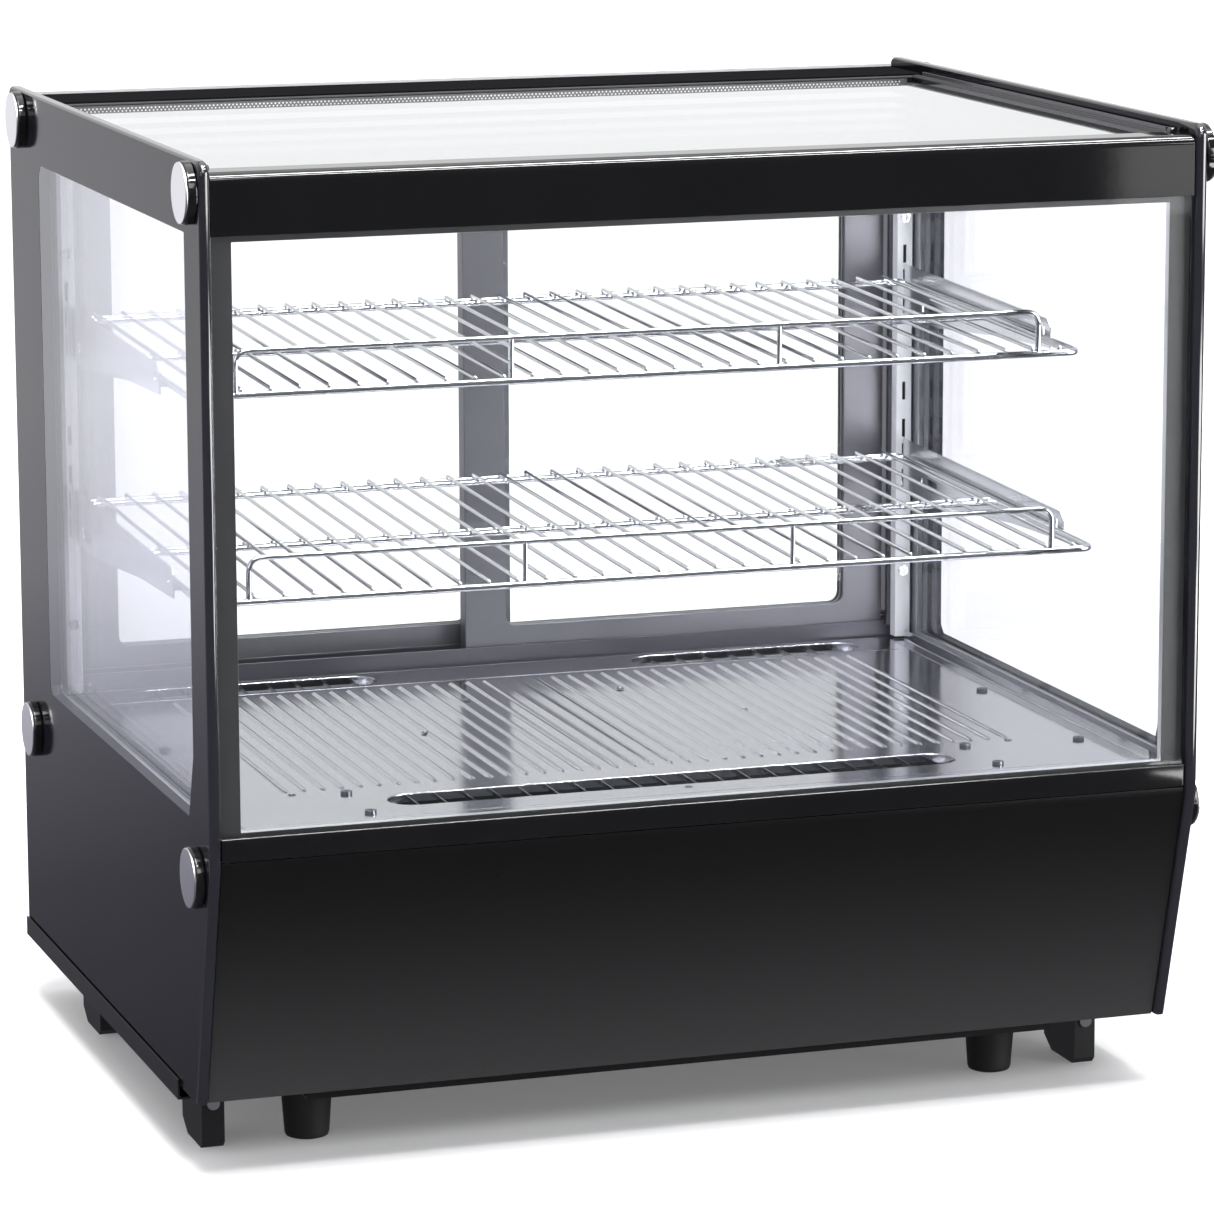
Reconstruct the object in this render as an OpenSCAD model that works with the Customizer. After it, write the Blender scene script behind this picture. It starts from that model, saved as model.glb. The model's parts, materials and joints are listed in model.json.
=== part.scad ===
// Countertop refrigerated bakery display case: double-glazed front, top and
// sides, sliding rear doors, two wire shelves and a cooled, louvred deck.
// Millimetres. X runs to the right, Y to the back, Z up. The origin is on the
// counter, under the middle of the case.

/* [Case] */
// Width over the two side glasses
case_w = 702; // [560:1:900]
// Depth from the front edge of the side glasses to their rear edge
case_d = 568; // [470:1:700]
// Height of the side glasses above the counter
case_h = 686; // [600:1:850]
// Height of the blocks and feet under the base pan
foot_h = 45; // [30:1:80]
// Gap between the underside of the base pan and the lower edge of the side glasses
pan_drop = 8; // [6:0.5:14]

/* [Side glass] */
// Thickness of the outer side glass
side_t = 8; // [5:0.5:10]
// Height of the knee where the front edge starts to slope back
knee_h = 222; // [190:1:260]
// How far the front edge has sloped back at the bottom
slant_back = 47.5; // [20:0.5:80]
// Radius of the two upper corners
corner_r = 9; // [4:0.5:25]

/* [Double glazing] */
// Thickness of each glazing pane
pane_t = 4; // [3:0.5:6]
// Air gap between the two front panes and between the two top panes
glass_gap = 6; // [4:0.5:10]
// Air gap between the outer and inner side panes
side_gap = 4; // [3:0.5:10]
// Width of the black spacer frame seen at the front glass
spacer_w = 15; // [8:0.5:25]

/* [Beams and trim] */
// Height of the black front beam
beam_h = 41; // [30:1:60]
// How far the beam top lies below the top of the side glasses
beam_drop = 7.6; // [3:0.2:15]
// How far the beam and trim are set back from the front edge
front_setback = 3.6; // [1:0.2:8]
// Depth of the front beam
beam_depth = 28.4; // [24:0.2:45]
// Depth of the rear beam
rear_beam_depth = 64; // [58:1:80]
// Visible height of the trim bar under the front glass
trim_h = 16; // [10:0.5:25]

/* [Caps] */
// Diameter of the round side caps
cap_d = 41; // [30:1:50]
// How far a cap stands out from the side glass
cap_t = 8; // [5:0.5:16]
// Thickness of the bright disc on a cap
disc_t = 1.6; // [1:0.1:3]
// Radius of the stud through the glass
stud_r = 3; // [2.5:0.1:4]

/* [Deck] */
// Height of the deck surface above the counter
deck_h = 241; // [230:1:300]
// Sheet thickness of the deck
deck_t = 1; // [0.8:0.1:2]
// Spacing of the pressed ribs
rib_pitch = 13.2; // [10:0.1:20]
// Width of one rib
rib_w = 6; // [4:0.1:8]
// Height of one rib
rib_rise = 1.3; // [0.6:0.1:2]
// Length of the front louvre slot
front_slot_l = 412; // [200:1:480]
// Length of each rear louvre slot
rear_slot_l = 185; // [100:1:220]
// Width of the louvre slots
slot_w = 36; // [16:1:44]

/* [Shelves] */
// Height of the upper shelf wires at the rear
upper_shelf_h = 521.5; // [480:0.5:560]
// Height of the lower shelf wires at the rear
lower_shelf_h = 386.5; // [350:0.5:420]
// Depth of the upper shelf
upper_shelf_d = 345; // [250:1:400]
// Depth of the lower shelf
lower_shelf_d = 373; // [250:1:410]
// Distance that the shelves run on past the ends of their brackets
shelf_overhang = 62; // [10:1:120]
// Forward fall of the shelves in degrees
shelf_tilt = 1.5; // [0:0.1:3]
// Diameter of the frame wires
frame_wire = 5; // [4:0.1:7]
// Diameter of the cross wires
cross_wire = 3; // [2:0.1:4]
// Spacing of the cross wires
wire_pitch = 20.5; // [15:0.1:30]
// Height of the guard rail above the front wire
guard_h = 30; // [15:1:45]

/* [Rear doors] */
// Thickness of a door frame
door_t = 14; // [12:0.5:18]
// Gap between the two doors
door_gap = 6; // [4:0.5:10]
// Width of the door stiles
stile_w = 32; // [24:1:40]
// Height of the door rails
rail_w = 19; // [14:1:30]
// How far the closed doors overlap
door_overlap = 42; // [34:1:60]
// Sliding clearance around a door
slide_fit = 0.3; // [0.2:0.05:0.6]

/* [Cooling] */
// Radius of the compressor shell
compressor_r = 62; // [50:1:70]
// Radius of the condenser fan blades
fan_r = 60; // [45:1:62]
// Running clearance of the fan shafts
shaft_fit = 0.05; // [0.02:0.01:0.1]

/* [Hidden] */
$fn = 48;
hw = case_w / 2;
in_x = hw - side_t;
front = -case_d / 2;
rear = case_d / 2;
glass_z0 = foot_h + pan_drop;
sheet = 1.2;
inner_x = in_x - side_gap - pane_t;
beam_top = case_h - beam_drop;
beam_z0 = beam_top - beam_h;
bar_x = in_x - 0.5;
trim_z0 = knee_h + 5.6;
trim_top = trim_z0 + trim_h;
beam_y0 = front + front_setback;
beam_y1 = beam_y0 + beam_depth;
fg_y0 = beam_y0 + 2.9;
fg_unit = 2 * pane_t + glass_gap;
fg_z0 = trim_z0 + 3;
fg_z1 = beam_z0 + 10.5;
top_unit = 2 * pane_t + glass_gap;
top_z1 = beam_top - 2.4;
top_z0 = top_z1 - top_unit;
rear_beam_y0 = rear - 2 - rear_beam_depth;
rear_beam_z0 = beam_top - 28.4;
door_zone = rear_beam_y0 + 2;
post_x0 = in_x - 13;
jamb_x = in_x - 24.5;
side_y0 = fg_y0 + fg_unit + 5.5;
side_y1 = door_zone - 1;
side_z0 = deck_h - 5;
side_z1 = min(beam_z0 + 13.5, rear_beam_z0) - 0.4;
ledge_t = 3;
pan_t = 1.5;
pan_front = front + 93;
wall_x = inner_x + 4;
deck_y0 = fg_y0 + fg_unit + 12.5;
deck_y1 = door_zone - 1;
deck_x = inner_x - 5;
track_z0 = deck_h - 5;
track_y0 = door_zone + 2;
track_y1 = rear - 8;
inner_door_y = door_zone + 8;
outer_door_y = inner_door_y + door_t + door_gap;
door_z0 = track_z0 + 13.5;
door_z1 = beam_top - 33;
door_w = jamb_x - 1.5 + door_overlap / 2;
door_x1 = jamb_x - 1.5;
pilaster_w = 12;
pilaster_y0 = door_zone - 10;
pilaster_x = inner_x - 7.5;
bracket_x = pilaster_x - 0.6;
shelf_x = bracket_x - 4.9;
hook_y = pilaster_y0 - 0.3;
panel_y0 = rear - 8;
tub_x = inner_x - 2;
tub_wall = 12;
tub_lip = 2.6;
tub_z0 = deck_h - 36;
tub_y1 = deck_y1 - 1;
tub_y0 = deck_y0 + 1;
well_x1 = -40;
well_y0 = front + 110;
well_y1 = tub_y1 - 32;
well_z0 = foot_h + 53;
cap_top_z = case_h - 21.5;
cap_low_z = knee_h - 9;
cap_sites = [[front + 21, cap_top_z], [rear - 43, cap_top_z], [rear - 48, cap_low_z], [front + 32, cap_low_z]];
comp_x = 95;
cond_x0 = 70;
cond_x1 = in_x - 35;
cond_y0 = rear - 63;
cond_z0 = foot_h + 17;
fan_x = (cond_x0 + cond_x1) / 2;
fan_z = cond_z0 + 66;
fan_y = rear - 88;
comp_y = fan_y - 180;
ev_fan_x = -118;
ev_fan_y = (well_y0 + well_y1) / 2;
ev_fan_z = tub_z0 + 3;
ctrl_x0 = -in_x + 40;
ctrl_w = 180;
ctrl_z0 = foot_h + 100;
ctrl_h = 62;
ctrl_face = rear - 4.5;
pan_screw_r = 1.9;
deck_screws = [[deck_x - 20, front + 112], [deck_x - 20, front + 290], [front_slot_l / 2 + 20, front + 58], [front_slot_l / 2 + 20, front + 118]];
panel_screw_x = [-in_x + 22, 0, in_x - 22];
panel_screw_z = [foot_h + 14, deck_h - 16];
pilaster_screw_z = [deck_h + 54, upper_shelf_h + 48];

// A box given by two opposite corners.
module block(a, b) {
    translate(a) cube(b - a);
}

// A cylinder along X, Y or Z from a point.
module rod_x(p, len, r) {
    translate(p) rotate([0, 90, 0]) cylinder(h = len, r = r);
}

module rod_y(p, len, r) {
    translate(p) rotate([-90, 0, 0]) cylinder(h = len, r = r);
}

module rod_z(p, len, r) {
    translate(p) cylinder(h = len, r = r);
}

// A profile drawn in Y and Z, drawn out along X.
module along_x(x0, x1) {
    translate([x0, 0, 0]) rotate([90, 0, 90]) linear_extrude(x1 - x0) children();
}

// A child and its mirror image on the other side of the case.
module both_sides() {
    children();
    mirror([1, 0, 0]) children();
}

// A straight piece of round bar between two points.
module bar(a, b, d) {
    v = b - a;
    len = norm(v);
    translate(a) rotate([0, acos(v[2] / len), atan2(v[1], v[0])]) cylinder(h = len, d = d);
}

// Round tube brazed along a list of points, with a slightly thicker ball at each bend.
module pipe_run(points, d) {
    for (i = [0 : len(points) - 2]) bar(points[i], points[i + 1], d);
    for (i = [1 : len(points) - 2]) translate(points[i]) sphere(d = d * 1.12);
}

// A closed loop of round bar.
module bar_loop(points, d) {
    n = len(points);
    for (i = [0 : n - 1]) {
        bar(points[i], points[(i + 1) % n], d);
        translate(points[i]) sphere(d = d);
    }
}

// Pan head screw. Its head stands on the face and its shank goes to -Z.
module pan_screw(len) {
    translate([0, 0, -len]) cylinder(h = len + 0.4, r = pan_screw_r);
    difference() {
        cylinder(h = 2, r = 4);
        block([-2.2, -0.5, 1.1], [2.2, 0.5, 2.1]);
        block([-0.5, -2.2, 1.1], [0.5, 2.2, 2.1]);
    }
}

// ---- base ----

// Outline of the chassis walls inside the side glasses.
module chassis_wall_outline() {
    polygon([
        [front + 12, knee_h - 4],
        [front + 12 + slant_back, glass_z0 + 6],
        [pan_front, foot_h + 0.5],
        [rear - 10, foot_h + 0.5],
        [rear - 10, track_z0 - 3],
        [front + 36, track_z0 - 3],
        [front + 36, knee_h - 2],
        [front + 12, knee_h - 2]
    ]);
}

module base_pan() {
    color([0.09, 0.09, 0.1])
    difference() {
        union() {
            block([-hw - 2, pan_front, foot_h], [hw + 2, rear - 2, foot_h + pan_t]);
            both_sides() block([hw + 0.8, pan_front, foot_h], [hw + 2, rear - 2, foot_h + 14]);
            block([-hw + 80, front + 64, foot_h], [hw - 80, pan_front + 1, foot_h + pan_t]);
            block([-hw + 80, front + 64, foot_h], [hw - 80, front + 65.5, glass_z0 - 0.6]);
            both_sides() along_x(wall_x - 1.2, wall_x) chassis_wall_outline();
        }
        for (s = [2, 3]) rod_x([-hw, cap_sites[s][0], cap_sites[s][1]], case_w, stud_r + 0.05);
        for (x = [-220, -180, -140], y = [-60, 0, 60]) rod_z([x, y + 20, foot_h - 1], 4, 9);
    }
}

// One rectangular support block with its lower edges chamfered.
module support_block(y0) {
    c = 4;
    x0 = hw - 37;
    x1 = hw - 21;
    difference() {
        along_x(x0, x1) polygon([
            [y0, c], [y0 + c, 0], [y0 + 55 - 14, 0], [y0 + 55, 9],
            [y0 + 55, foot_h], [y0, foot_h]
        ]);
        rod_y([(x0 + x1) / 2, y0 - 1, foot_h - 13], 12, 2.05);
    }
}

module corner_blocks() {
    color([0.05, 0.05, 0.06])
    both_sides() {
        support_block(front + 121);
        support_block(rear - 143);
    }
}

module foot_screws() {
    color([0.75, 0.75, 0.78])
    both_sides() for (y0 = [front + 121, rear - 143]) {
        rod_y([hw - 29, y0, foot_h - 13], 10, 2);
        rod_y([hw - 29, y0 - 2.4, foot_h - 13], 2.4, 4.6);
    }
}

// Tapered rubber foot with a rounded lower edge.
module round_feet() {
    r_top = 18.5;
    r_low = 15.5;
    color([0.04, 0.04, 0.04])
    both_sides() for (y = [front + 133, rear - 133])
        translate([hw - 98, y, 0])
        rotate_extrude()
        polygon([[0, 0], [r_low - 3, 0], [r_low - 0.8, 0.8], [r_low, 3], [r_top, foot_h], [0, foot_h]]);
}

// ---- front, below the glass ----

module front_panel() {
    top = trim_z0 - 0.4;
    y0 = beam_y0 + 0.9;
    y1 = front + slant_back + 4.5;
    flange_x = wall_x - 4;
    color([0.08, 0.08, 0.085]) {
        along_x(-bar_x, bar_x) polygon([
            [y0, top], [y0, knee_h], [y1, glass_z0], [y1 + sheet, glass_z0],
            [y0 + sheet, knee_h], [y0 + sheet, top]
        ]);
        block([-flange_x, y0, top - sheet], [flange_x, y0 + 18, top]);
        block([-flange_x, y1, glass_z0], [flange_x, y1 + 26, glass_z0 + sheet]);
        both_sides() along_x(bar_x - 1.2, bar_x) polygon([
            [y0, knee_h], [y1, glass_z0], [y1 + 9, glass_z0 + 3], [y0 + 9, knee_h]
        ]);
    }
}

module front_trim() {
    back = fg_y0 + fg_unit + 0.3;
    color([0.05, 0.05, 0.055])
    along_x(-bar_x, bar_x) {
        translate([beam_y0, trim_z0]) square([back - beam_y0 + 2.4, 2.6]);
        translate([beam_y0, trim_z0]) square([2.5, trim_h]);
        translate([back, trim_z0]) square([2.4, trim_h - 4]);
    }
}

module front_sill_strip() {
    y0 = fg_y0 + fg_unit + 2.9;
    color([0.82, 0.82, 0.84])
    along_x(-tub_x, tub_x) {
        translate([y0, deck_h + 0.3]) square([deck_y0 - y0 - 0.5, 1.4]);
        translate([y0, deck_h - 9]) square([1.2, 10]);
    }
}

// ---- glazing ----

module front_pane(y0) {
    block([-bar_x, y0, fg_z0], [bar_x, y0 + pane_t, fg_z1]);
}

module front_glass_outer() {
    color([0.75, 0.85, 0.85, 0.35]) front_pane(fg_y0);
}

module front_glass_inner() {
    color([0.75, 0.85, 0.85, 0.35]) front_pane(fg_y0 + pane_t + glass_gap);
}

module top_pane(z0) {
    block([-bar_x + 7, beam_y1 + 2, z0], [bar_x - 7, rear_beam_y0 - 2, z0 + pane_t]);
}

module top_glass_outer() {
    color([0.8, 0.88, 0.88, 0.35]) top_pane(top_z1 - pane_t);
}

module top_glass_inner() {
    color([0.8, 0.88, 0.88, 0.35]) top_pane(top_z0);
}

// A flat frame that keeps two panes apart, drawn in its own plane.
module spacer_outline(size, w) {
    difference() {
        square(size);
        translate([w, w]) square([size[0] - 2 * w, size[1] - 2 * w]);
    }
}

module glazing_spacers() {
    color([0.05, 0.05, 0.05]) {
        translate([-bar_x, fg_y0 + pane_t + glass_gap, fg_z0])
            rotate([90, 0, 0]) linear_extrude(glass_gap)
            spacer_outline([2 * bar_x, fg_z1 - fg_z0], spacer_w);
        translate([-bar_x + 7, beam_y1 + 2, top_z0 + pane_t])
            linear_extrude(glass_gap)
            spacer_outline([2 * bar_x - 14, rear_beam_y0 - beam_y1 - 4], 8);
        both_sides() translate([in_x - side_gap, side_y0, side_z0])
            rotate([90, 0, 90]) linear_extrude(side_gap)
            spacer_outline([side_y1 - side_y0, side_z1 - side_z0], 11);
    }
}

// Outline of a side glass, seen from the side.
module side_outline() {
    union() {
        polygon([
            [front + corner_r, case_h],
            [front + corner_r, case_h - corner_r],
            [front, case_h - corner_r],
            [front, knee_h],
            [front + slant_back, glass_z0],
            [rear, glass_z0],
            [rear, case_h - corner_r],
            [rear - corner_r, case_h - corner_r],
            [rear - corner_r, case_h]
        ]);
        translate([front + corner_r, case_h - corner_r]) circle(r = corner_r);
        translate([rear - corner_r, case_h - corner_r]) circle(r = corner_r);
    }
}

module side_glass() {
    difference() {
        along_x(in_x, hw) side_outline();
        for (c = cap_sites) rod_x([in_x - 1, c[0], c[1]], side_t + 2, stud_r + 1.5);
    }
}

module side_inner_pane() {
    block([inner_x, side_y0, side_z0], [inner_x + pane_t, side_y1, side_z1]);
}

module left_side_glass() {
    color([0.16, 0.16, 0.2, 0.9]) mirror([1, 0, 0]) side_glass();
}

module right_side_glass() {
    color([0.16, 0.16, 0.2, 0.9]) side_glass();
}

module left_inner_glass() {
    color([0.75, 0.85, 0.85, 0.35]) mirror([1, 0, 0]) side_inner_pane();
}

module right_inner_glass() {
    color([0.75, 0.85, 0.85, 0.35]) side_inner_pane();
}

// ---- caps that clamp the side glasses ----

module cap_bodies() {
    color([0.03, 0.03, 0.03])
    both_sides() for (c = cap_sites) difference() {
        rod_x([hw, c[0], c[1]], cap_t - disc_t, cap_d / 2);
        rod_x([hw - 1, c[0], c[1]], cap_t - disc_t - 1, stud_r + 0.05);
    }
}

module cap_discs() {
    color([0.78, 0.78, 0.8])
    both_sides() for (c = cap_sites)
        rod_x([hw + cap_t - disc_t, c[0], c[1]], disc_t, cap_d / 2 - 0.6);
}

module cap_studs() {
    color([0.7, 0.7, 0.72])
    both_sides() for (c = cap_sites)
        rod_x([wall_x - 4, c[0], c[1]], hw + cap_t - disc_t - 2 - wall_x + 4, stud_r);
}

// ---- top frame ----

module top_front_beam() {
    color([0.05, 0.05, 0.055])
    difference() {
        along_x(-bar_x, bar_x) {
            translate([beam_y0, beam_z0 + 13.5]) square([beam_depth, beam_h - 13.5]);
            translate([beam_y0, beam_z0]) square([2.5, beam_h]);
            translate([fg_y0 + fg_unit + 0.3, beam_z0 + 2]) square([2.5, beam_h - 4]);
            translate([beam_y0, top_z0 - 0.3 - ledge_t]) square([beam_depth + 12, ledge_t]);
        }
        block([-bar_x + 25, beam_y0 + 3, beam_z0 + 16.5], [bar_x - 25, beam_y1 - 3, beam_top - 3]);
        rod_x([-hw, cap_sites[0][0], cap_sites[0][1]], case_w, stud_r + 0.05);
    }
}

module top_rear_beam() {
    y1 = rear - 2;
    color([0.05, 0.05, 0.055])
    difference() {
        along_x(-bar_x, bar_x) {
            translate([rear_beam_y0, rear_beam_z0]) square([rear_beam_depth, beam_top - rear_beam_z0]);
            translate([y1 - 3, rear_beam_z0]) square([3, beam_top + 2.6 - rear_beam_z0]);
            translate([rear_beam_y0 - 12, top_z0 - 0.3 - ledge_t]) square([13, ledge_t]);
        }
        block([-bar_x + 25, rear_beam_y0 + 3, rear_beam_z0 + 3], [bar_x - 25, y1 - 4, beam_top - 3]);
        rod_x([-hw, cap_sites[1][0], cap_sites[1][1]], case_w, stud_r + 0.05);
    }
}

// Stepped side rail that carries the edge of the top glass.
module top_rail() {
    y0 = beam_y1 + 12.4;
    y1 = rear_beam_y0 - 12.4;
    z0 = top_z0 - 0.3 - ledge_t;
    color([0.3, 0.3, 0.33])
    translate([0, y1, 0]) rotate([90, 0, 0]) linear_extrude(y1 - y0) {
        translate([inner_x - 15, z0]) square([bar_x - inner_x + 13.6, ledge_t]);
        translate([bar_x - 6.2, z0]) square([4.8, top_z1 + 1.4 - z0]);
        translate([bar_x - 3.8, z0]) square([2.4, top_z1 + 4.4 - z0]);
    }
    color([0.3, 0.3, 0.33]) block([bar_x - 6.2, beam_y1 + 0.3, z0 + ledge_t + 0.3], [bar_x - 1.4, y0 + 1, top_z1 + 1.4]);
    color([0.3, 0.3, 0.33]) block([bar_x - 6.2, y1 - 1, z0 + ledge_t + 0.3], [bar_x - 1.4, rear_beam_y0 - 0.3, top_z1 + 1.4]);
}

module top_left_rail() {
    mirror([1, 0, 0]) top_rail();
}

module top_right_rail() {
    top_rail();
}

// ---- rear frame and shelf supports ----

module rear_posts() {
    color([0.1, 0.1, 0.11])
    both_sides() difference() {
        union() {
            block([jamb_x, door_zone, door_z0 + 1], [bar_x, door_zone + 4, rear_beam_z0]);
            block([post_x0, door_zone, door_z0 + 1], [bar_x, rear - 5, rear_beam_z0]);
        }
        block([post_x0 + 2.5, door_zone + 6, door_z0], [bar_x - 2.5, rear - 8, rear_beam_z0 + 1]);
        for (z = pilaster_screw_z) rod_y([pilaster_x, door_zone - 1, z], 8, pan_screw_r + 0.05);
    }
}

// Slot heights: two for the hooks and one or more spare above each bracket.
hook_low = -19;
hook_high = 1;
slot_heights = [for (h = [lower_shelf_h, upper_shelf_h], k = [hook_low, hook_high, 20]) h + k];

module pilaster() {
    z0 = deck_h + 2;
    z1 = rear_beam_z0 - 9;
    x0 = pilaster_x - pilaster_w / 2;
    difference() {
        block([x0, pilaster_y0, z0], [x0 + pilaster_w, door_zone, z1]);
        block([x0 + sheet, pilaster_y0 + sheet, z0 - 1], [x0 + pilaster_w - sheet, door_zone + 1, z1 + 1]);
        for (z = concat(slot_heights, [lower_shelf_h + 49]))
            block([pilaster_x - 1.4, pilaster_y0 - 1, z - 7], [pilaster_x + 1.4, pilaster_y0 + 2, z + 7]);
        for (z = pilaster_screw_z) rod_y([pilaster_x, pilaster_y0 - 1, z], 4, pan_screw_r + 0.1);
    }
}

module shelf_pilasters() {
    color([0.8, 0.8, 0.82]) both_sides() pilaster();
}

// Pressed bracket in the frame of its hooks: Y forward is negative.
module bracket(d) {
    difference() {
        along_x(bracket_x, bracket_x + sheet) {
            polygon([
                [0, 12.5], [-d + 5, 12.5], [-d, 8], [-d, -8],
                [-d * 0.70, -13], [-d * 0.24, -27], [0, -27]
            ]);
            for (z = [hook_low, hook_high]) {
                translate([-1, z - 3]) square([5.5, 7]);
                translate([2.3, z - 6]) square([2.2, 6]);
            }
        }
        for (y = [-66, -42]) rod_x([bracket_x - 1, y, -15], 4, 4.5);
        block([bracket_x - 1, -66, -19.5], [bracket_x + 3, -42, -10.5]);
        for (z = [2.2, 5.2]) rod_x([bracket_x - 1, -d + 12, z], 4, 2.2);
        block([bracket_x - 1, -d + 9.8, 2.2], [bracket_x + 3, -d + 14.2, 5.2]);
    }
    block([bracket_x - 9, -d + 6, -frame_wire / 2 - 0.3 - sheet], [bracket_x + 0.5, -75, -frame_wire / 2 - 0.3]);
}

module placed_on_hooks(h) {
    translate([0, hook_y, h]) rotate([shelf_tilt, 0, 0]) children();
}

module upper_left_bracket() {
    color([0.78, 0.78, 0.8]) mirror([1, 0, 0]) placed_on_hooks(upper_shelf_h) bracket(upper_shelf_d - shelf_overhang);
}

module upper_right_bracket() {
    color([0.78, 0.78, 0.8]) placed_on_hooks(upper_shelf_h) bracket(upper_shelf_d - shelf_overhang);
}

module lower_left_bracket() {
    color([0.78, 0.78, 0.8]) mirror([1, 0, 0]) placed_on_hooks(lower_shelf_h) bracket(lower_shelf_d - shelf_overhang);
}

module lower_right_bracket() {
    color([0.78, 0.78, 0.8]) placed_on_hooks(lower_shelf_h) bracket(lower_shelf_d - shelf_overhang);
}

// Wire shelf in the same frame as its brackets.
module wire_shelf(d) {
    y0 = -d;
    y1 = -5;
    x = shelf_x;
    gx = x - 31;
    count = floor((2 * x - 8) / wire_pitch / 2);
    top = frame_wire / 2 + cross_wire / 2 - 0.3;
    bar_loop([[-x, y1, 0], [-x, y0, 0], [x, y0, 0], [x, y1, 0]], frame_wire);
    for (y = [y1 - 11, (y0 + y1) / 2, (y0 + y1) / 2 - 11]) bar([-x, y, 0], [x, y, 0], frame_wire - 1);
    for (i = [-count : count]) bar([i * wire_pitch, y0 - 1, top], [i * wire_pitch, y1 + 1, top], cross_wire);
    translate([0, y0, 0]) guard_rail(gx, frame_wire - 1);
}

// Guard rail bent from one wire, standing on the front wire.
module guard_rail(gx, d) {
    r = 10;
    translate([-gx + r, 0, guard_h]) rotate([0, 90, 0]) cylinder(h = 2 * (gx - r), d = d);
    both_sides() {
        translate([gx, 0, 0]) cylinder(h = guard_h - r, d = d);
        translate([gx - r, 0, guard_h - r]) rotate([90, 0, 0]) rotate_extrude(angle = 90) translate([r, 0]) circle(d = d);
        translate([gx / 3, 0, 0]) cylinder(h = guard_h - 0.5, d = d - 0.6);
    }
}

module upper_shelf() {
    color([0.82, 0.82, 0.84]) placed_on_hooks(upper_shelf_h) wire_shelf(upper_shelf_d);
}

module lower_shelf() {
    color([0.82, 0.82, 0.84]) placed_on_hooks(lower_shelf_h) wire_shelf(lower_shelf_d);
}

// ---- deck and cold tub ----

// A slot with round ends, cut through the deck, with vanes standing in it.
module slot_cut(x0, x1, y) {
    r = slot_w / 2;
    block([x0 + r, y - r, deck_h - 9], [x1 - r, y + r, deck_h + 3]);
    rod_z([x0 + r, y, deck_h - 9], 12, r);
    rod_z([x1 - r, y, deck_h - 9], 12, r);
}

module slot_vanes(x0, x1, y) {
    r = slot_w / 2;
    n = floor((x1 - x0 - 2 * r) / 20);
    for (i = [0 : n]) {
        x = x0 + r + i * (x1 - x0 - 2 * r) / n;
        block([x - 0.5, y - r - 1, deck_h - 7], [x + 0.5, y + r + 1, deck_h - 0.2]);
    }
}

module deck_ribs() {
    ribs = floor((deck_x - 57) / rib_pitch);
    r = (rib_w * rib_w / 4 + rib_rise * rib_rise) / (2 * rib_rise);
    y0 = front + 132;
    y1 = deck_y1 - 53;
    intersection() {
        for (i = [-ribs : ribs]) rod_y([i * rib_pitch, y0, deck_h + rib_rise - r], y1 - y0, r);
        block([-deck_x, y0 - 1, deck_h - deck_t], [deck_x, y1 + 1, deck_h + 5]);
    }
}

module deck() {
    fx = front_slot_l / 2;
    fy = front + 70 + slot_w / 2;
    ry = deck_y1 - 5 - slot_w / 2;
    rx = deck_x * 0.305;
    color([0.8, 0.8, 0.83])
    difference() {
        union() {
            block([-deck_x, deck_y0, deck_h - deck_t], [deck_x, deck_y1, deck_h]);
            both_sides() block([deck_x - 1, deck_y0, deck_h - deck_t], [deck_x, deck_y1, deck_h + 7]);
            deck_ribs();
        }
        slot_cut(-fx, fx, fy);
        both_sides() slot_cut(rx, rx + rear_slot_l, ry);
        both_sides() for (p = deck_screws) rod_z([p[0], p[1], deck_h - 3], 6, pan_screw_r + 0.1);
        both_sides() block([pilaster_x - 8, pilaster_y0 - 2, deck_h - 3], [deck_x + 1, deck_y1 + 1, deck_h + 9]);
    }
    color([0.2, 0.2, 0.22]) {
        slot_vanes(-fx, fx, fy);
        both_sides() slot_vanes(rx, rx + rear_slot_l, ry);
    }
}

module insulated_tub() {
    top = deck_h - deck_t - 0.3;
    color([0.85, 0.86, 0.88])
    difference() {
        union() {
            block([-tub_x, tub_y0, tub_z0], [tub_x, tub_y1, top]);
            block([-tub_x, well_y0, well_z0], [well_x1, well_y1, tub_z0 + 1]);
        }
        block([-tub_x + tub_wall, tub_y0 + tub_wall, tub_z0 + tub_wall], [tub_x - tub_wall, tub_y1 - tub_lip, top + 1]);
        block([-tub_x + tub_wall, well_y0 + tub_wall, well_z0 + tub_wall], [well_x1 - tub_wall, well_y1 - tub_wall, top + 1]);
        rod_z([-tub_x + 30, ev_fan_y, well_z0 - 1], tub_wall + 2, 6);
        rod_x([well_x1 - tub_wall - 1, well_y1 - 30, well_z0 + 40], tub_wall + 2, 9);
    }
}

// ---- sliding rear doors ----

door_walls = [inner_door_y - 3, inner_door_y + door_t + door_gap / 2 - 1, outer_door_y + door_t + 1.5];

module bottom_door_track() {
    color([0.1, 0.1, 0.11]) {
        block([-bar_x, track_y0, track_z0], [bar_x, track_y1, track_z0 + 4]);
        for (y = door_walls) block([-post_x0 + 0.3, y, track_z0], [post_x0 - 0.3, y + 1.5, door_z0 + 4]);
    }
}

module top_door_track() {
    color([0.1, 0.1, 0.11]) {
        block([-post_x0 + 0.3, door_walls[0], rear_beam_z0 - 2], [post_x0 - 0.3, door_walls[2] + 1.5, rear_beam_z0]);
        for (y = door_walls) block([-post_x0 + 0.3, y, door_z1 - 6], [post_x0 - 0.3, y + 1.5, rear_beam_z0]);
    }
}

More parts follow.
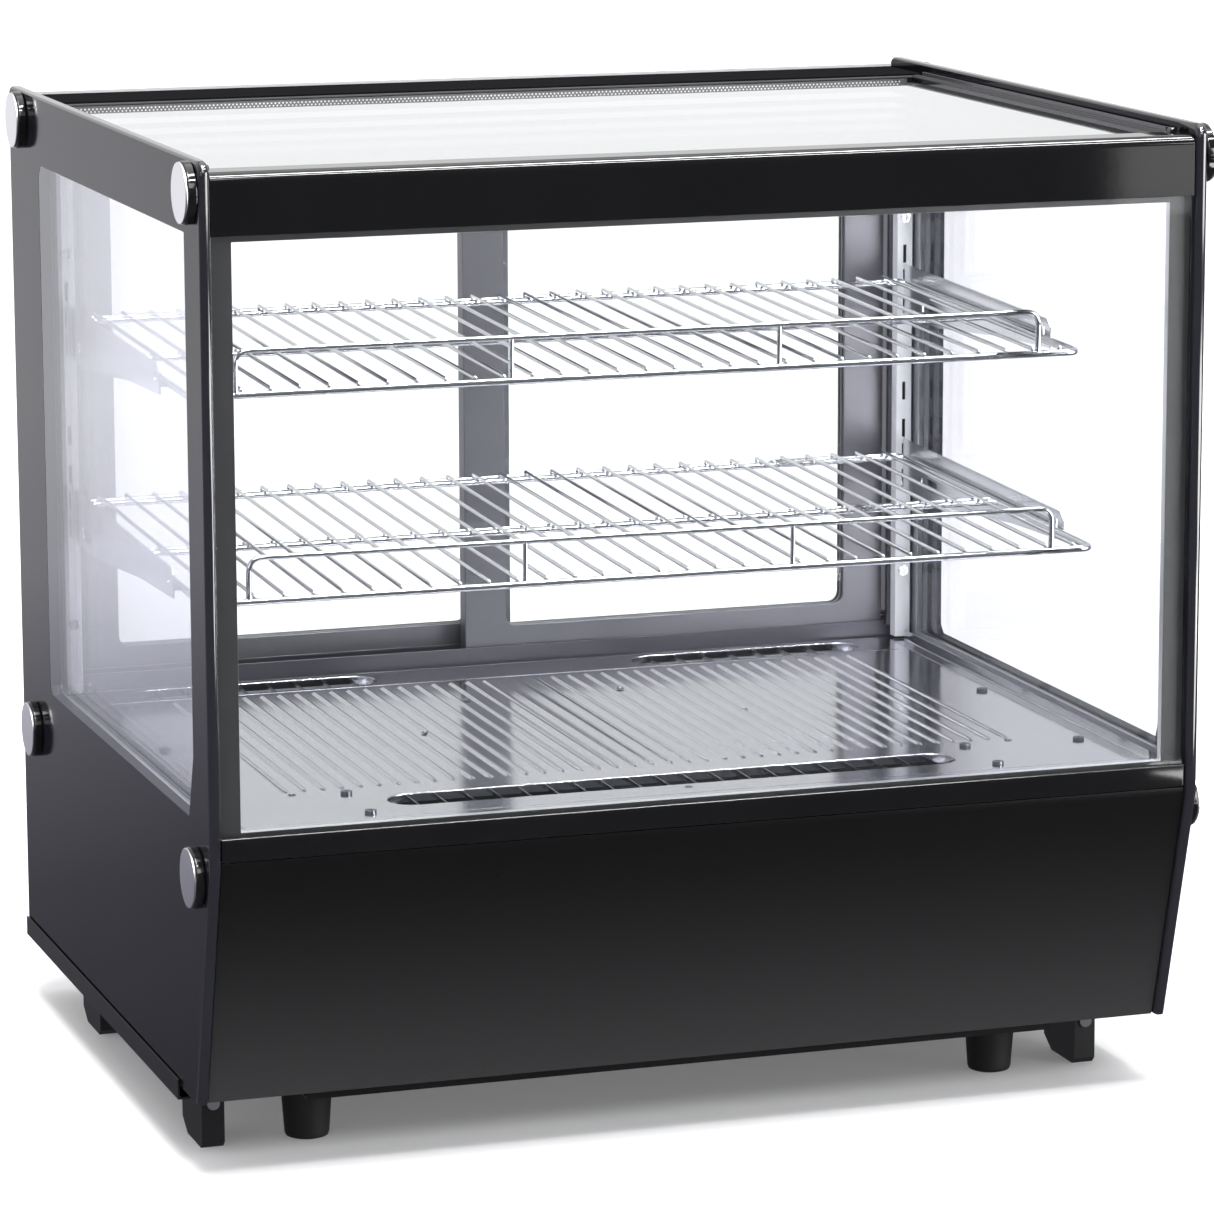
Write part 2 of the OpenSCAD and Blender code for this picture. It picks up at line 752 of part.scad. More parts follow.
// A door frame with its left edge at x0 and a finger recess in one stile.
module door_frame(x0, y0, pull_x) {
    r = 8;
    a = [x0 + stile_w, door_z0 + rail_w];
    b = [x0 + door_w - stile_w, door_z1 - rail_w];
    difference() {
        block([x0, y0, door_z0], [x0 + door_w, y0 + door_t, door_z1]);
        block([a[0] + r, y0 - 1, a[1]], [b[0] - r, y0 + door_t + 1, b[1]]);
        block([a[0], y0 - 1, a[1] + r], [b[0], y0 + door_t + 1, b[1] - r]);
        for (x = [a[0] + r, b[0] - r], z = [a[1] + r, b[1] - r]) rod_y([x, y0 - 1, z], door_t + 2, r);
        for (y = door_pane_y) block([a[0] - 6, y0 + y, a[1] - 6], [b[0] + 6, y0 + y + 3, b[1] + 6]);
        block([pull_x - 7, y0 + door_t - 7, door_mid - 50], [pull_x + 7, y0 + door_t + 1, door_mid + 50]);
    }
}

door_pane_y = [2.5, 8.5];
door_mid = (door_z0 + door_z1) / 2;

module door_glass(x0, y0) {
    for (y = door_pane_y)
        block([x0 + stile_w - 6, y0 + y, door_z0 + rail_w - 6], [x0 + door_w - stile_w + 6, y0 + y + 3, door_z1 - rail_w + 6]);
}

module door_glides(x0, y0) {
    for (x = [x0 + 30, x0 + door_w - 60])
        block([x, y0 + 3, track_z0 + 4 + slide_fit], [x + 30, y0 + door_t - 3, door_z0]);
}

module left_door_frame() {
    color([0.07, 0.07, 0.075]) door_frame(-door_x1, outer_door_y, -door_x1 + stile_w / 2);
}

module left_door_glass() {
    color([0.75, 0.85, 0.85, 0.35]) door_glass(-door_x1, outer_door_y);
}

module left_door_glides() {
    color([0.9, 0.9, 0.88]) door_glides(-door_x1, outer_door_y);
}

module right_door_frame() {
    color([0.07, 0.07, 0.075]) door_frame(door_x1 - door_w, inner_door_y, door_x1 - stile_w / 2);
}

module right_door_glass() {
    color([0.75, 0.85, 0.85, 0.35]) door_glass(door_x1 - door_w, inner_door_y);
}

module right_door_glides() {
    color([0.9, 0.9, 0.88]) door_glides(door_x1 - door_w, inner_door_y);
}

// ---- rear service panel and controls ----

module rear_panel() {
    z0 = foot_h + 3;
    x = wall_x - 1.5;
    color([0.12, 0.12, 0.13])
    difference() {
        union() {
            block([-x, panel_y0, z0], [x, panel_y0 + sheet, track_z0 - 0.4]);
            block([-x, track_y0, track_z0 - 0.4 - sheet], [x, panel_y0 + sheet, track_z0 - 0.4]);
        }
        for (i = [0 : 11]) translate([0, 0, cond_z0 + 6 + i * 11])
            block([cond_x0 + 8, panel_y0 - 1, 0], [cond_x1 - 8, panel_y0 + 3, 5]);
        block([ctrl_x0 + 6, panel_y0 - 1, ctrl_z0 + 6], [ctrl_x0 + ctrl_w - 6, panel_y0 + 3, ctrl_z0 + ctrl_h - 6]);
        rod_y([gland_x, panel_y0 - 1, gland_z], 4, 8.1);
        for (px = panel_screw_x, pz = panel_screw_z) rod_y([px, panel_y0 - 1, pz], 4, pan_screw_r + 0.1);
    }
}

gland_x = 20;
gland_z = foot_h + 30;

module cable_gland() {
    color([0.05, 0.05, 0.05])
    difference() {
        union() {
            rod_y([gland_x, panel_y0 - 10, gland_z], 16, 8);
            rod_y([gland_x, panel_y0 + sheet, gland_z], 4, 11);
            rod_y([gland_x, panel_y0 - 4.2, gland_z], 4, 11);
        }
        rod_y([gland_x, panel_y0 - 11, gland_z], 20, 4);
    }
}

module case_screws() {
    color([0.75, 0.75, 0.77]) {
        both_sides() for (p = deck_screws) translate([p[0], p[1], deck_h]) pan_screw(6);
        both_sides() for (z = pilaster_screw_z)
            translate([pilaster_x, pilaster_y0, z]) rotate([90, 0, 0]) pan_screw(13);
        for (px = panel_screw_x, pz = panel_screw_z)
            translate([px, panel_y0 + sheet, pz]) rotate([-90, 0, 0]) pan_screw(6);
    }
}

// Button and rocker places on the fascia.
button_x = [for (i = [0 : 2]) ctrl_x0 + 90 - i * 18];
button_z = ctrl_z0 + 18;
rocker_x = [ctrl_x0 + 128, ctrl_x0 + 156];
rocker_z = ctrl_z0 + ctrl_h / 2;
rocker_pivot_y = ctrl_face - 1.5;

module control_fascia() {
    color([0.06, 0.06, 0.065])
    difference() {
        union() {
            block([ctrl_x0, panel_y0 + sheet, ctrl_z0], [ctrl_x0 + ctrl_w, ctrl_face, ctrl_z0 + ctrl_h]);
            block([ctrl_x0 + 7, panel_y0 - 32, ctrl_z0 + 7], [ctrl_x0 + ctrl_w - 7, ctrl_face, ctrl_z0 + ctrl_h - 7]);
        }
        block([ctrl_x0 + 9, panel_y0 - 33, ctrl_z0 + 9], [ctrl_x0 + ctrl_w - 9, ctrl_face - 2.5, ctrl_z0 + ctrl_h - 9]);
        for (x = button_x) rod_y([x, ctrl_face - 4, button_z], 6, 4.3);
        for (x = rocker_x) block([x - 7.3, ctrl_face - 4, rocker_z - 11], [x + 7.3, ctrl_face + 1, rocker_z + 11]);
        block([ctrl_x0 + 26, ctrl_face - 0.8, ctrl_z0 + 30], [ctrl_x0 + 88, ctrl_face + 1, ctrl_z0 + 52]);
    }
}

module push_button(x) {
    color([0.55, 0.55, 0.58]) {
        rod_y([x, ctrl_face - 8, button_z], 9.5, 4);
        rod_y([x, ctrl_face - 8, button_z], 1.5, 5.5);
    }
}

module set_button() {
    push_button(button_x[2]);
}

module up_button() {
    push_button(button_x[1]);
}

module down_button() {
    push_button(button_x[0]);
}

// Rocker key, hollow-faced, turning about a pin along X.
module rocker(x) {
    y = rocker_pivot_y;
    z = rocker_z;
    along_x(x - 7, x + 7) polygon([
        [y - 4, z - 6], [y + 3, z - 10], [y + 2, z], [y + 4.4, z + 10], [y - 4, z + 6]
    ]);
}

module power_rocker() {
    color([0.1, 0.45, 0.16]) rocker(rocker_x[0]);
}

module light_rocker() {
    color([0.08, 0.08, 0.08]) rocker(rocker_x[1]);
}

// ---- refrigeration ----

module compressor() {
    z0 = foot_h + pan_t;
    r = compressor_r;
    color([0.08, 0.08, 0.085]) translate([comp_x, comp_y, z0]) {
        translate([0, 0, 12])
            rotate_extrude()
            polygon([
                [0, 0], [r * 0.55, 0], [r * 0.9, r * 0.22], [r, r * 0.55], [r, r * 1.35],
                [r * 0.93, r * 1.68], [r * 0.7, r * 1.95], [r * 0.35, r * 2.08], [0, r * 2.1]
            ]);
        difference() {
            block([-75, -48, 9], [75, 48, 13]);
            for (x = [-60, 60], y = [-38, 38]) rod_z([x, y, 5], 20, 3);
        }
        for (x = [-60, 60], y = [-38, 38]) rod_z([x, y, 0], 9.5, 8);
        block([r - 12, -20, 40], [r + 14, 20, 80]);
    }
}

// Finned coil: plates along X with tubes through them.
module finned_coil(size, pitch, tube_rows) {
    n = floor(size[0] / pitch);
    for (i = [0 : n]) block([i * size[0] / n - 0.4, 0, 0], [i * size[0] / n + 0.4, size[1], size[2]]);
    for (r = [0 : tube_rows - 1])
        rod_x([-6, size[1] / 2, (r + 0.5) * size[2] / tube_rows], size[0] + 12, 4);
}

module condenser() {
    color([0.5, 0.5, 0.52])
    translate([cond_x0, cond_y0, cond_z0])
        finned_coil([cond_x1 - cond_x0, 32, 132], 9, 5);
}

module condenser_fan_shroud() {
    color([0.15, 0.15, 0.16]) {
        difference() {
            block([cond_x0 + 20, cond_y0 - 6, cond_z0 - 14], [cond_x1 - 20, cond_y0 - 3, cond_z0 + 132]);
            rod_y([fan_x, cond_y0 - 7, fan_z], 6, fan_r + 4);
        }
        rod_y([fan_x, fan_y - 34, fan_z], 22, 22);
        rod_y([fan_x, fan_y - 13, fan_z], 17, 3);
        for (s = [-1, 1]) {
            block([fan_x + s * 44 - 46, fan_y - 30, fan_z - 4], [fan_x + s * 44 + 46, fan_y - 26, fan_z + 4]);
            block([fan_x + s * 86 - 4, fan_y - 30, fan_z - 4], [fan_x + s * 86 + 4, cond_y0 - 4, fan_z + 4]);
        }
    }
}

// Axial fan along Z, hub bored for a shaft of radius 3.
module fan_rotor(r, hub_r, h, blades) {
    difference() {
        union() {
            cylinder(h = h, r = hub_r);
            intersection() {
                for (i = [0 : blades - 1]) rotate([0, 0, i * 360 / blades])
                    translate([0, 0, h / 2]) rotate([24, 0, 0])
                    translate([0, -r * 0.24, -0.8]) cube([r, r * 0.48, 1.6]);
                cylinder(h = h, r = r);
            }
        }
        translate([0, 0, -1]) cylinder(h = h + 2, r = 3 + shaft_fit);
    }
}

module condenser_fan_blade() {
    color([0.75, 0.76, 0.78])
    translate([fan_x, fan_y - 11, fan_z]) rotate([-90, 0, 0]) fan_rotor(fan_r, 17, 14, 5);
}

module evaporator() {
    x = -tub_x + tub_wall + 12;
    color([0.75, 0.75, 0.77])
    translate([x, well_y0 + tub_wall + 20, well_z0 + tub_wall + 12])
        rotate([0, 0, 90]) mirror([0, 1, 0])
        finned_coil([well_y1 - well_y0 - 2 * tub_wall - 46, 95, 62], 12, 3);
}

module evaporator_fan_frame() {
    color([0.12, 0.12, 0.13]) {
        difference() {
            block([ev_fan_x - 62, well_y0 + tub_wall + 0.2, ev_fan_z], [well_x1 - tub_wall - 0.2, well_y1 - tub_wall - 0.2, ev_fan_z + 3]);
            rod_z([ev_fan_x, ev_fan_y, ev_fan_z - 1], 5, 54);
        }
        rod_z([ev_fan_x, ev_fan_y, ev_fan_z - 34], 16, 16);
        rod_z([ev_fan_x, ev_fan_y, ev_fan_z - 19], 18, 3);
        for (s = [-1, 1]) translate([ev_fan_x, ev_fan_y, ev_fan_z]) {
            block([-3, s * 38 - 24, -30], [3, s * 38 + 24, -26]);
            block([-3, s * 60 - 2, -30], [3, s * 60 + 2, 1]);
        }
    }
}

module evaporator_fan_blade() {
    color([0.8, 0.81, 0.83])
    translate([ev_fan_x, ev_fan_y, ev_fan_z - 16]) fan_rotor(48, 14, 12, 5);
}

module refrigerant_pipes() {
    z = foot_h + pan_t;
    color([0.72, 0.42, 0.25]) {
        pipe_run([
            [comp_x + compressor_r * 0.6, comp_y + compressor_r * 0.9, z + 70],
            [comp_x + 60, comp_y + 75, z + 70], [comp_x + 60, comp_y + 75, z + 22],
            [in_x - 22, comp_y + 75, z + 22], [in_x - 22, cond_y0 + 16, z + 22]
        ], 6);
        pipe_run([
            [comp_x - compressor_r - 2, comp_y, z + 60], [comp_x - compressor_r - 22, comp_y, z + 60],
            [comp_x - compressor_r - 22, well_y1 - 30, z + 60], [comp_x - compressor_r - 22, well_y1 - 30, well_z0 + 40],
            [well_x1 - 60, well_y1 - 30, well_z0 + 40]
        ], 8);
    }
}

module condensate_tray() {
    x0 = comp_x + compressor_r + 38;
    x1 = in_x - 32;
    y0 = front + 190;
    y1 = comp_y + 60;
    z0 = foot_h + pan_t;
    color([0.1, 0.1, 0.1])
    difference() {
        block([x0, y0, z0], [x1, y1, z0 + 24]);
        block([x0 + 2, y0 + 2, z0 + 2], [x1 - 2, y1 - 2, z0 + 25]);
    }
}

module led_lamp() {
    z1 = top_z0 - ledge_t - 0.6;
    y1 = rear_beam_y0 - 2;
    color([0.9, 0.9, 0.88])
    block([-inner_x + 12, y1 - 18, z1 - 9], [inner_x - 12, y1, z1]);
}

base_pan();
corner_blocks();
round_feet();
foot_screws();
front_panel();
front_trim();
front_sill_strip();
front_glass_outer();
front_glass_inner();
top_glass_outer();
top_glass_inner();
glazing_spacers();
top_front_beam();
top_rear_beam();
top_left_rail();
top_right_rail();
left_side_glass();
left_inner_glass();
right_side_glass();
right_inner_glass();
cap_bodies();
cap_discs();
cap_studs();
rear_posts();
shelf_pilasters();
case_screws();
upper_left_bracket();
upper_right_bracket();
lower_left_bracket();
lower_right_bracket();
upper_shelf();
lower_shelf();
deck();
insulated_tub();
top_door_track();
bottom_door_track();
left_door_frame();
left_door_glass();
left_door_glides();
right_door_frame();
right_door_glass();
right_door_glides();
rear_panel();
control_fascia();
set_button();
up_button();
down_button();
power_rocker();
light_rocker();
cable_gland();
compressor();
condenser();
condenser_fan_shroud();
condenser_fan_blade();
evaporator();
evaporator_fan_frame();
evaporator_fan_blade();
refrigerant_pipes();
condensate_tray();
led_lamp();
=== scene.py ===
import json
import math

import bmesh
import bpy
from mathutils import Matrix, Vector
from mathutils.geometry import tessellate_polygon

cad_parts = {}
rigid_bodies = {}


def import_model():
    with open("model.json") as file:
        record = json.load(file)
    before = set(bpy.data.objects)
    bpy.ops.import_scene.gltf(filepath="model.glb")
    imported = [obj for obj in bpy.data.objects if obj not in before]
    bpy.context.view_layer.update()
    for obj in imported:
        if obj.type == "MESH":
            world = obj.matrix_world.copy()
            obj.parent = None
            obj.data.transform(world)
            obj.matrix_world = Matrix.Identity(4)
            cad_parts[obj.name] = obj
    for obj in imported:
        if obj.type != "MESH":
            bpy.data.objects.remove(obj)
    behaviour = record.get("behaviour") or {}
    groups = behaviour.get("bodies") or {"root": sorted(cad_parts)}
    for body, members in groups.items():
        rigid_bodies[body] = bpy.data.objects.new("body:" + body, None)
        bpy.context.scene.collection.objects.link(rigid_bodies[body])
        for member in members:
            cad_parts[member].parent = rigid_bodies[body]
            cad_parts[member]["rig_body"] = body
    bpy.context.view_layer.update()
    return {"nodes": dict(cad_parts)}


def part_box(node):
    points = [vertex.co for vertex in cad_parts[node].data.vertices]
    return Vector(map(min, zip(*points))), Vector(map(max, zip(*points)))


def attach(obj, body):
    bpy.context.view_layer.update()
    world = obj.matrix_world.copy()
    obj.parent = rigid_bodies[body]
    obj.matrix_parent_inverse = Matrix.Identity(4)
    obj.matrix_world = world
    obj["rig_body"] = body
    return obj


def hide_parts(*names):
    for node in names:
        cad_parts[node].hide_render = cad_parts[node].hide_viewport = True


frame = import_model()

# Counter top and studio. A pale matt table runs on as a pale backdrop, lit by large
# soft lights overhead and behind. Every finish below is written with Sock, which wraps
# one node socket so that a finish reads as plain arithmetic.
scene = bpy.context.scene


class Sock:
    """An output socket in a node tree. Arithmetic on it adds Math nodes, and node() adds any other."""

    def __init__(self, tree, out=None):
        self.tree = tree
        self.out = out

    def node(self, kind, settings, sockets, out=0):
        made = self.tree.nodes.new("ShaderNode" + kind)
        for key, value in settings.items():
            if key == "stops":
                stops = made.color_ramp.elements
                stops.remove(stops[1])
                stops[0].position = value[0][0]
                stops[0].color = (*value[0][1], 1.0)
                for at, shade in value[1:]:
                    stops.new(at).color = (*shade, 1.0)
            else:
                setattr(made, key, value)
        for key, value in sockets.items():
            target = made.inputs[key]
            if isinstance(value, Sock):
                self.tree.links.new(value.out, target)
            elif target.type == "RGBA":
                target.default_value = (*value, 1.0)
            else:
                target.default_value = value
        return Sock(self.tree, made.outputs[out])

    def maths(self, operation, first, second):
        return self.node("Math", {"operation": operation}, {0: first, 1: second})

    def __add__(self, other):
        return self.maths("ADD", self, other)

    def __radd__(self, other):
        return self.maths("ADD", other, self)

    def __sub__(self, other):
        return self.maths("SUBTRACT", self, other)

    def __rsub__(self, other):
        return self.maths("SUBTRACT", other, self)

    def __mul__(self, other):
        return self.maths("MULTIPLY", self, other)

    def __rmul__(self, other):
        return self.maths("MULTIPLY", other, self)

    def __pow__(self, other):
        return self.maths("POWER", self, other)


def new_finish(name):
    material = bpy.data.materials.new(name)
    material.use_nodes = True
    material.node_tree.nodes.clear()
    return material, Sock(material.node_tree)


def close_finish(material, surface):
    end = material.node_tree.nodes.new("ShaderNodeOutputMaterial")
    material.node_tree.links.new(surface.out, end.inputs["Surface"])
    return material


def cloud(at, size, stretch=(1.0, 1.0, 1.0), detail=3.0):
    """Soft noise from 0 to 1 whose spots are about size metres across."""
    drawn = at.node("Mapping", {}, {"Vector": at, "Scale": stretch})
    return at.node("TexNoise", {}, {"Vector": drawn, "Scale": 0.5 / size, "Detail": detail})


def shade_between(at, factor, dark, light):
    return at.node("Mix", {"data_type": "RGBA"}, {0: factor, 6: dark, 7: light}, 2)


FLOOR_SHADE, FLOOR_FLECK = (0.86, 0.86, 0.865), (0.87, 0.87, 0.875)
FLOOR_GLOW = 0.15
FLOOR_REACH = 40.0
material, tree = new_finish("studio_floor")
place = tree.node("TexCoord", {}, {}, "Object")
paper = cloud(place, 0.006)
lit = tree.node("BsdfPrincipled", {}, {
    "Base Color": shade_between(place, paper, FLOOR_SHADE, FLOOR_FLECK),
    "Roughness": 0.62 + paper * 0.1,
    "Specular IOR Level": 0.12,
    "Emission Color": (1.0, 1.0, 1.0),
    "Emission Strength": FLOOR_GLOW})
depth = tree.node("SeparateXYZ", {}, {"Vector": place}, "Y")
# Painted reflection: to glossy rays alone the table shows a painted ramp, dark near the
# case's front and bright far behind it, in place of its own lit colour.
painted_reflection_ramp = tree.node("ValToRGB", {"stops": [
    (0.0, (0.11, 0.11, 0.12)), (0.30, (0.13, 0.13, 0.15)), (0.36, (0.22, 0.22, 0.26)),
    (0.42, (0.46, 0.46, 0.52)), (0.50, (0.92, 0.91, 0.98)), (0.62, (1.10, 1.09, 1.14))]},
    {"Fac": depth * 0.1 + 0.3})
seen_in_gloss = tree.node("Emission", {}, {"Color": painted_reflection_ramp, "Strength": 1.0})
path = tree.node("LightPath", {}, {}, "Is Glossy Ray")
close_finish(material, tree.node("MixShader", {}, {0: path, 1: lit, 2: seen_in_gloss}))
mesh = bpy.data.meshes.new("studio_floor")
corners = [(x * FLOOR_REACH, y * FLOOR_REACH, 0) for x, y in ((-1, -1), (1, -1), (1, 1), (-1, 1))]
mesh.from_pydata(corners, [], [(0, 1, 2, 3)])
mesh.materials.append(material)
floor = bpy.data.objects.new("studio_floor", mesh)
scene.collection.objects.link(floor)

camera_data = bpy.data.cameras.new("camera")
camera_data.lens = 156.3
camera_data.sensor_width = 36.0
camera_data.shift_x = 0.0016
camera_data.shift_y = -0.0027
camera_data.clip_end = 200.0
camera = bpy.data.objects.new("camera", camera_data)
camera.location = (-1.1604, -3.5251, 1.0401)
camera.rotation_euler = (math.radians(79.13), math.radians(0.19), math.radians(-18.47))
scene.collection.objects.link(camera)
scene.camera = camera


def soft_light(name, place, target, size, power, tint=(1.0, 1.0, 1.0)):
    data = bpy.data.lights.new(name, "AREA")
    data.shape = "RECTANGLE"
    data.size, data.size_y = size
    data.energy = power
    data.color = tint
    light = bpy.data.objects.new(name, data)
    light.location = place
    light.rotation_euler = (Vector(target) - Vector(place)).to_track_quat("-Z", "Y").to_euler()
    light.visible_camera = False
    scene.collection.objects.link(light)
    return light


# The lights in the loop are cards: only glossy finishes show them, as lines and sheens.
soft_light("overhead", (0.2, 0.1, 3.0), (0.0, 0.0, 0.3), (2.8, 2.6), 40.0)
soft_light("front_fill", (-0.6, -3.4, 2.7), (0.0, 0.0, 0.35), (2.6, 1.2), 55.0)
soft_light("left_strip", (-2.6, -2.6, 1.3), (-0.3, -0.2, 0.4), (0.25, 1.6), 10.0, (0.95, 0.95, 1.0))
soft_light("right_strip", (2.6, -2.2, 1.1), (0.3, -0.2, 0.4), (0.30, 1.6), 12.0)
for card in (soft_light("edge_card", (2.4, -2.2, 0.95), (0.3, -0.28, 0.6), (2.2, 1.5), 110.0),
             soft_light("high_strip", (0.4, -0.9, 3.0), (0.0, -0.28, 0.66), (3.0, 0.20), 170.0),
             soft_light("brow_strip", (0.6, -1.9, 2.9), (0.0, -0.28, 0.66), (3.0, 0.14), 110.0),
             soft_light("floor_card", (2.2, -1.55, 0.02), (2.2, -1.54, 1.0), (1.8, 1.5), 100.0),
             soft_light("near_floor_card", (1.08, -0.96, 0.02), (1.08, -0.95, 1.0), (0.70, 0.46), 12.0),
             soft_light("corner_card", (2.62, -5.0, 0.30), (0.3, -0.28, 0.66), (0.42, 0.56), 1.8)):
    card.visible_diffuse = False
    card.visible_transmission = False
sun_data = bpy.data.lights.new("key", "SUN")
sun_data.energy = 3.1
sun_data.angle = math.radians(20.0)
key = bpy.data.objects.new("key", sun_data)
key.rotation_euler = Vector((0.06, 0.22, -1.0)).to_track_quat("-Z", "Y").to_euler()
scene.collection.objects.link(key)

world = bpy.data.worlds.new("studio")
world.use_nodes = True
world.node_tree.nodes.clear()
sky = Sock(world.node_tree)
way = sky.node("TexCoord", {}, {}, "Generated")
behind = sky.node("SeparateXYZ", {}, {"Vector": way}, "Y")
above = sky.node("SeparateXYZ", {}, {"Vector": way}, "Z")
glow = sky.node("ValToRGB", {"stops": [
    (0.0, (0.16, 0.16, 0.17)), (0.35, (0.30, 0.30, 0.32)),
    (0.62, (0.62, 0.62, 0.65)), (0.85, (1.0, 1.0, 1.0))]},
    {"Fac": behind * 0.42 + above * 0.30 + 0.45})
room = sky.node("Background", {}, {"Color": glow, "Strength": 1.0})
white = sky.node("Background", {}, {"Color": (1.0, 1.0, 1.0), "Strength": 1.0})
to_camera = sky.node("LightPath", {}, {}, "Is Camera Ray")
light_of_room = sky.node("MixShader", {}, {0: to_camera, 1: room, 2: white})
end = world.node_tree.nodes.new("ShaderNodeOutputWorld")
world.node_tree.links.new(light_of_room.out, end.inputs["Surface"])
scene.world = world
scene.view_settings.view_transform = "Standard"
scene.view_settings.look = "None"
scene.cycles.transparent_max_bounces = 32
scene.cycles.max_bounces = 16
scene.cycles.glossy_bounces = 6

# Side glasses. Each is one tempered 8 mm sheet with polished, rounded edges. The inside
# is screen printed black up to the edge, and a clear window is left over the cake space.
SIDE_LOW, SIDE_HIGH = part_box("right_side_glass")
SIDE_IN, HALF_W = SIDE_LOW.x, SIDE_HIGH.x
FRONT_Y, REAR_Y, LOW_Z, TOP_Z = SIDE_LOW.y, SIDE_HIGH.y, SIDE_LOW.z, SIDE_HIGH.z
KNEE_Z, SLANT, CORNER_R = 0.222, 0.0475, 0.009
FULL_ROUND, POLISH = 0.0039, 0.0016
CLEAR_FRONT, CLEAR_REAR, CLEAR_LOW, CLEAR_TOP = -0.243, 0.188, 0.249, 0.637
WINDOW_SINK = 0.0001


def body_of(node):
    return frame["nodes"][node]["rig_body"]


def flatten(made):
    """Keeps broad faces flat in shading where a small rounded edge meets them."""
    weigh = made.modifiers.new("flat_faces", "WEIGHTED_NORMAL")
    weigh.keep_sharp = True
    weigh.weight = 100


def add_piece(name, like, material, verts, faces, sharp=38.0, stands_for=()):
    """A new mesh piece that rides with CAD node `like`."""
    mesh = bpy.data.meshes.new(name)
    mesh.from_pydata([tuple(v) for v in verts], [], faces)
    form = bmesh.new()
    form.from_mesh(mesh)
    bmesh.ops.recalc_face_normals(form, faces=form.faces)
    form.to_mesh(mesh)
    form.free()
    mesh.shade_smooth()
    mesh.set_sharp_from_angle(angle=math.radians(sharp))
    mesh.materials.append(material)
    made = bpy.data.objects.new(name, mesh)
    scene.collection.objects.link(made)
    flatten(made)
    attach(made, body_of(like))
    if stands_for:
        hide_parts(*stands_for)
    return made


def arc(centre, radius, start, stop, steps):
    """Points on an arc in a plane, angles in degrees."""
    turn = [math.radians(start + (stop - start) * i / steps) for i in range(steps + 1)]
    return [(centre[0] + radius * math.cos(t), centre[1] + radius * math.sin(t)) for t in turn]


def inset(loop, depths):
    """A counter-clockwise loop moved inwards, edge i by depths[i]."""
    moved = []
    count = len(loop)
    for i in range(count):
        a, b, c = Vector(loop[i - 1]), Vector(loop[i]), Vector(loop[(i + 1) % count])
        before, after = (b - a).normalized(), (c - b).normalized()
        left_a, left_b = Vector((-before.y, before.x)), Vector((-after.y, after.x))
        da, db = depths[i - 1], depths[i]
        turn = before.x * after.y - before.y * after.x
        if abs(turn) < 1e-4:
            moved.append(b + left_b * db)
        else:
            p, q = b + left_a * da, b + left_b * db
            moved.append(p + before * (((q - p).x * after.y - (q - p).y * after.x) / turn))
    return [tuple(p) for p in moved]


def sheet_glass(outline, radii, hole, x_in, x_out, steps=6):
    """Verts, rim faces and flat faces of a sheet in Y and Z with rounded edges and one hole."""
    half = (x_out - x_in) / 2
    mid = (x_out + x_in) / 2
    rings = []
    for side in (-1, 1):
        for k in range(steps + 1):
            t = math.pi / 2 * (k / steps if side > 0 else 1 - k / steps)
            ring = inset(outline, [r * (1 - math.cos(t)) for r in radii])
            out = [side * (half - min(r, half) * (1 - math.sin(t))) for r in radii]
            rings.append([(mid + (out[i - 1] + out[i]) / 2, p[0], p[1]) for i, p in enumerate(ring)])
    verts = [point for ring in rings for point in ring]
    count = len(outline)
    rim = []
    for k in range(len(rings) - 1):
        for i in range(count):
            j = (i + 1) % count
            rim.append((k * count + i, k * count + j, (k + 1) * count + j, (k + 1) * count + i))
    flat = []
    for ring_at, x in ((0, x_in), (len(rings) - 1, x_out)):
        edge = [Vector((p[1], p[2], 0)) for p in rings[ring_at]]
        cut = [Vector((p[0], p[1], 0)) for p in hole]
        base = ring_at * count
        start = len(verts)
        verts += [(x, p[0], p[1]) for p in hole]
        index = [base + i for i in range(count)] + [start + i for i in range(len(hole))]
        flat += [tuple(index[i] for i in tri) for tri in tessellate_polygon([edge, cut])]
    first, last = len(verts) - 2 * len(hole), len(verts) - len(hole)
    for i in range(len(hole)):
        j = (i + 1) % len(hole)
        flat.append((first + i, first + j, last + j, last + i))
    return verts, rim, flat


def slab(loop, x_in, x_out):
    """Verts and faces of a flat plate in Y and Z."""
    count = len(loop)
    verts = [(x_in, *p) for p in loop] + [(x_out, *p) for p in loop]
    faces = [tuple(range(count)), tuple(range(count, 2 * count))]
    faces += [(i, (i + 1) % count, count + (i + 1) % count, count + i) for i in range(count)]
    return verts, faces


def lacquer(name, tone, rough, specular=0.5, ripple=0.00003, smudge=0.05, coat=0.0):
    """A dark glossy coat: a little orange peel, faint wiping marks and cloudy depth."""
    material, tree = new_finish(name)
    at = tree.node("TexCoord", {}, {}, "Object")
    wipe = cloud(at, 0.030, (1.0, 1.0, 0.35))
    speck = cloud(at, 0.0016, detail=2.0)
    uneven = cloud(at, 0.004) + speck * 0.2
    peel = tree.node("Bump", {}, {"Strength": 0.5, "Distance": ripple, "Height": uneven})
    surface = tree.node("BsdfPrincipled", {}, {
        "Base Color": shade_between(at, wipe, [c * 0.75 for c in tone], [c * 1.3 for c in tone]),
        "Roughness": wipe * smudge + speck * (smudge * 0.4) + (rough - smudge * 0.7),
        "Specular IOR Level": specular,
        "Coat Weight": coat,
        "Coat Roughness": 0.04,
        "Normal": peel})
    return close_finish(material, surface)


